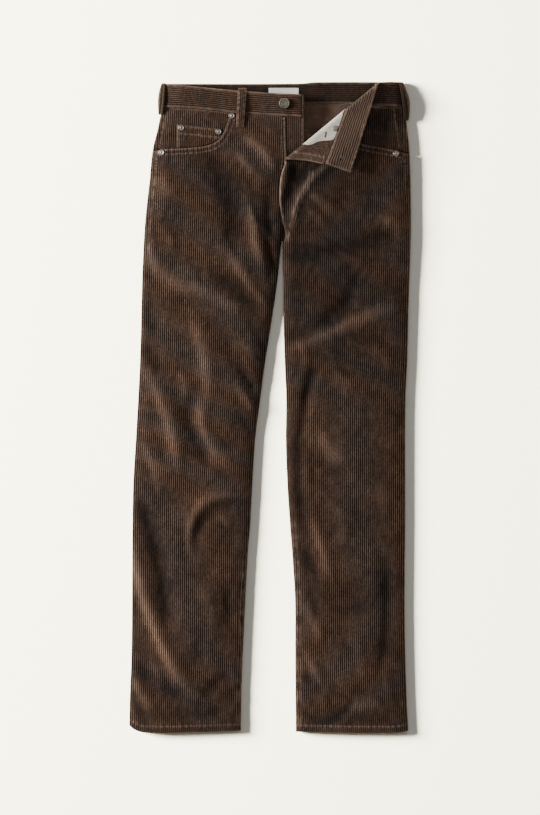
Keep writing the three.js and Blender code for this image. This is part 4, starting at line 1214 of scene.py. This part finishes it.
thread("topstitching_right", sewn(RIGHT, RIGHT.rows + [hem_line(RIGHT)], -0.05))
thread("topstitching_left", sewn(LEFT, LEFT.rows + [hem_line(LEFT)], -0.05))
thread("topstitching_band_right", sewn(
    RIGHT, [band_row(RIGHT.band_low, 2.0, -176, 55), band_row(RIGHT.band_top, -2.2, -172, 54.5),
            np.array([(54.3, 485), (54.3, 517)])], BAND_LIFT - 0.1))
thread("topstitching_band_left", sewn(
    LEFT, [band_row(LEFT.band_low, 2.0, 142, 218), band_row(LEFT.band_top, -2.2, 193, 216)],
    BAND_LIFT - 0.1))
flap_rows = [band_row(LEFT.band_low, 2.0, 34, 118), band_row(LEFT.band_top, -2.2, 28, 178),
             np.array([(32.8, 481), (27.0, 518)])]
thread("topstitching_band_folded", sewn(LEFT, flap_rows, BAND_LIFT - BAND - PAD - 0.15))
xs = np.arange(0, BUTTONHOLE.long + 0.1, 0.85)[:, None] * BUTTONHOLE.run + BUTTONHOLE.foot
level = BAND_LIFT - BAND - PAD - 0.1 + 0 * xs[:, 0]
across = np.array([-BUTTONHOLE.run[1], BUTTONHOLE.run[0]])
thread("buttonhole_stitches", [
    tuple(lifted(LEFT, xs[:, 0] + k * across[0], xs[:, 1] + k * across[1], level) for k in (side * 0.7, side * 2.6))
    for side in (-1, 1)], 0.36)
xs = np.linspace((74, 468.9), (83, 468.5), 14)
level = UNDER - LINING - 0.2 + 0 * xs[:, 0]
thread("bartack_bag", [tuple(lifted(LEFT, xs[:, 0], xs[:, 1] + k, level) for k in (-1.5, 1.5))], 0.4)
thread("topstitching_facing_right", sewn(RIGHT, [OUTSEAM_ROW], UNDER - 0.6))
thread("topstitching_facing_left", sewn(LEFT, [OUTSEAM_ROW_LEFT], UNDER - 0.6))
thread("topstitching_coin", sewn(RIGHT, coin_rows, UNDER - 0.6 + GAP + LINING))
thread("topstitching_shield", sewn(RIGHT, [np.array([(53.5, 434), (53.5, 480)])], UNDER))
thread("topstitching_fly_facing", sewn(LEFT, [edge_line(LEFT.fly, 1, 11.5, 404, 474, 4)],
                                       UNDER - LINING - 0.15))
inner_row = np.stack([np.linspace(-150, 190, 60), BACK_LOW(np.linspace(-150, 190, 60)) + 2.0], -1)
thread("topstitching_waist_back", [tuple(np.stack([p[:, 0], p[:, 1], 0 * p[:, 0] + BAND + 0.35], -1)
                                         for p in stitch_ends(inner_row))])


# Floor, light and camera
bpy.ops.mesh.primitive_plane_add(size=12, location=(0, 0, -0.0008))
floor = bpy.context.object
floor.name = "floor"
floor.data.materials.append(PAPER)


KEY_FROM = 168          # degrees round from +X
KEY_HEIGHT = 22         # degrees above the floor


def area_light(name, azimuth, elevation, distance, size, power, colour="#FFFFFF"):
    data = bpy.data.lights.new(name, "AREA")
    data.size, data.energy = size, power
    data.color = linear(colour)[:3]
    lamp = bpy.data.objects.new(name, data)
    flat = distance * math.cos(math.radians(elevation))
    lamp.location = (flat * math.cos(math.radians(azimuth)), flat * math.sin(math.radians(azimuth)),
                     distance * math.sin(math.radians(elevation)))
    lamp.rotation_euler = (-lamp.location).to_track_quat("-Z", "Y").to_euler()
    bpy.context.collection.objects.link(lamp)
    return lamp


area_light("key_softbox", KEY_FROM, KEY_HEIGHT, 5.0, 1.3, 470)
area_light("top_fill", 80, 70, 3.5, 2.5, 20)
paper_light = area_light("paper_softbox", KEY_FROM, 20, 9.0, 2.8, 15600, "#FFFBE2")
lit_paper = bpy.data.collections.new("lit_paper")
lit_paper.objects.link(floor)
paper_light.light_linking.receiver_collection = lit_paper
world = bpy.data.worlds.new("studio")
bpy.context.scene.world = world
world.use_nodes = True
world.node_tree.nodes["Background"].inputs["Color"].default_value = linear("#FFFDFA")
world.node_tree.nodes["Background"].inputs["Strength"].default_value = 0.2

camera_data = bpy.data.cameras.new("camera")
camera_data.lens = 318.9
camera_data.clip_end = 50
camera = bpy.data.objects.new("camera", camera_data)
camera.location = (0, 0, 12)
camera.rotation_euler = (0, 0, 0)
bpy.context.collection.objects.link(camera)
bpy.context.scene.camera = camera

# What each piece stands for
REPLACED = {"zip_teeth": ["zip_chain"], "zip_tape": [], "front_left": ["front_left", "front_left_corner"]}
for piece in list(bpy.data.objects):
    if piece.type != "MESH" or piece is floor or piece.name in frame["nodes"]:
        continue
    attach(piece, "root")
    base = piece.name.removesuffix("_look")
    nodes = REPLACED.get(base, [base] if base in frame["nodes"] else [])
    if nodes:
        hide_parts(*nodes)
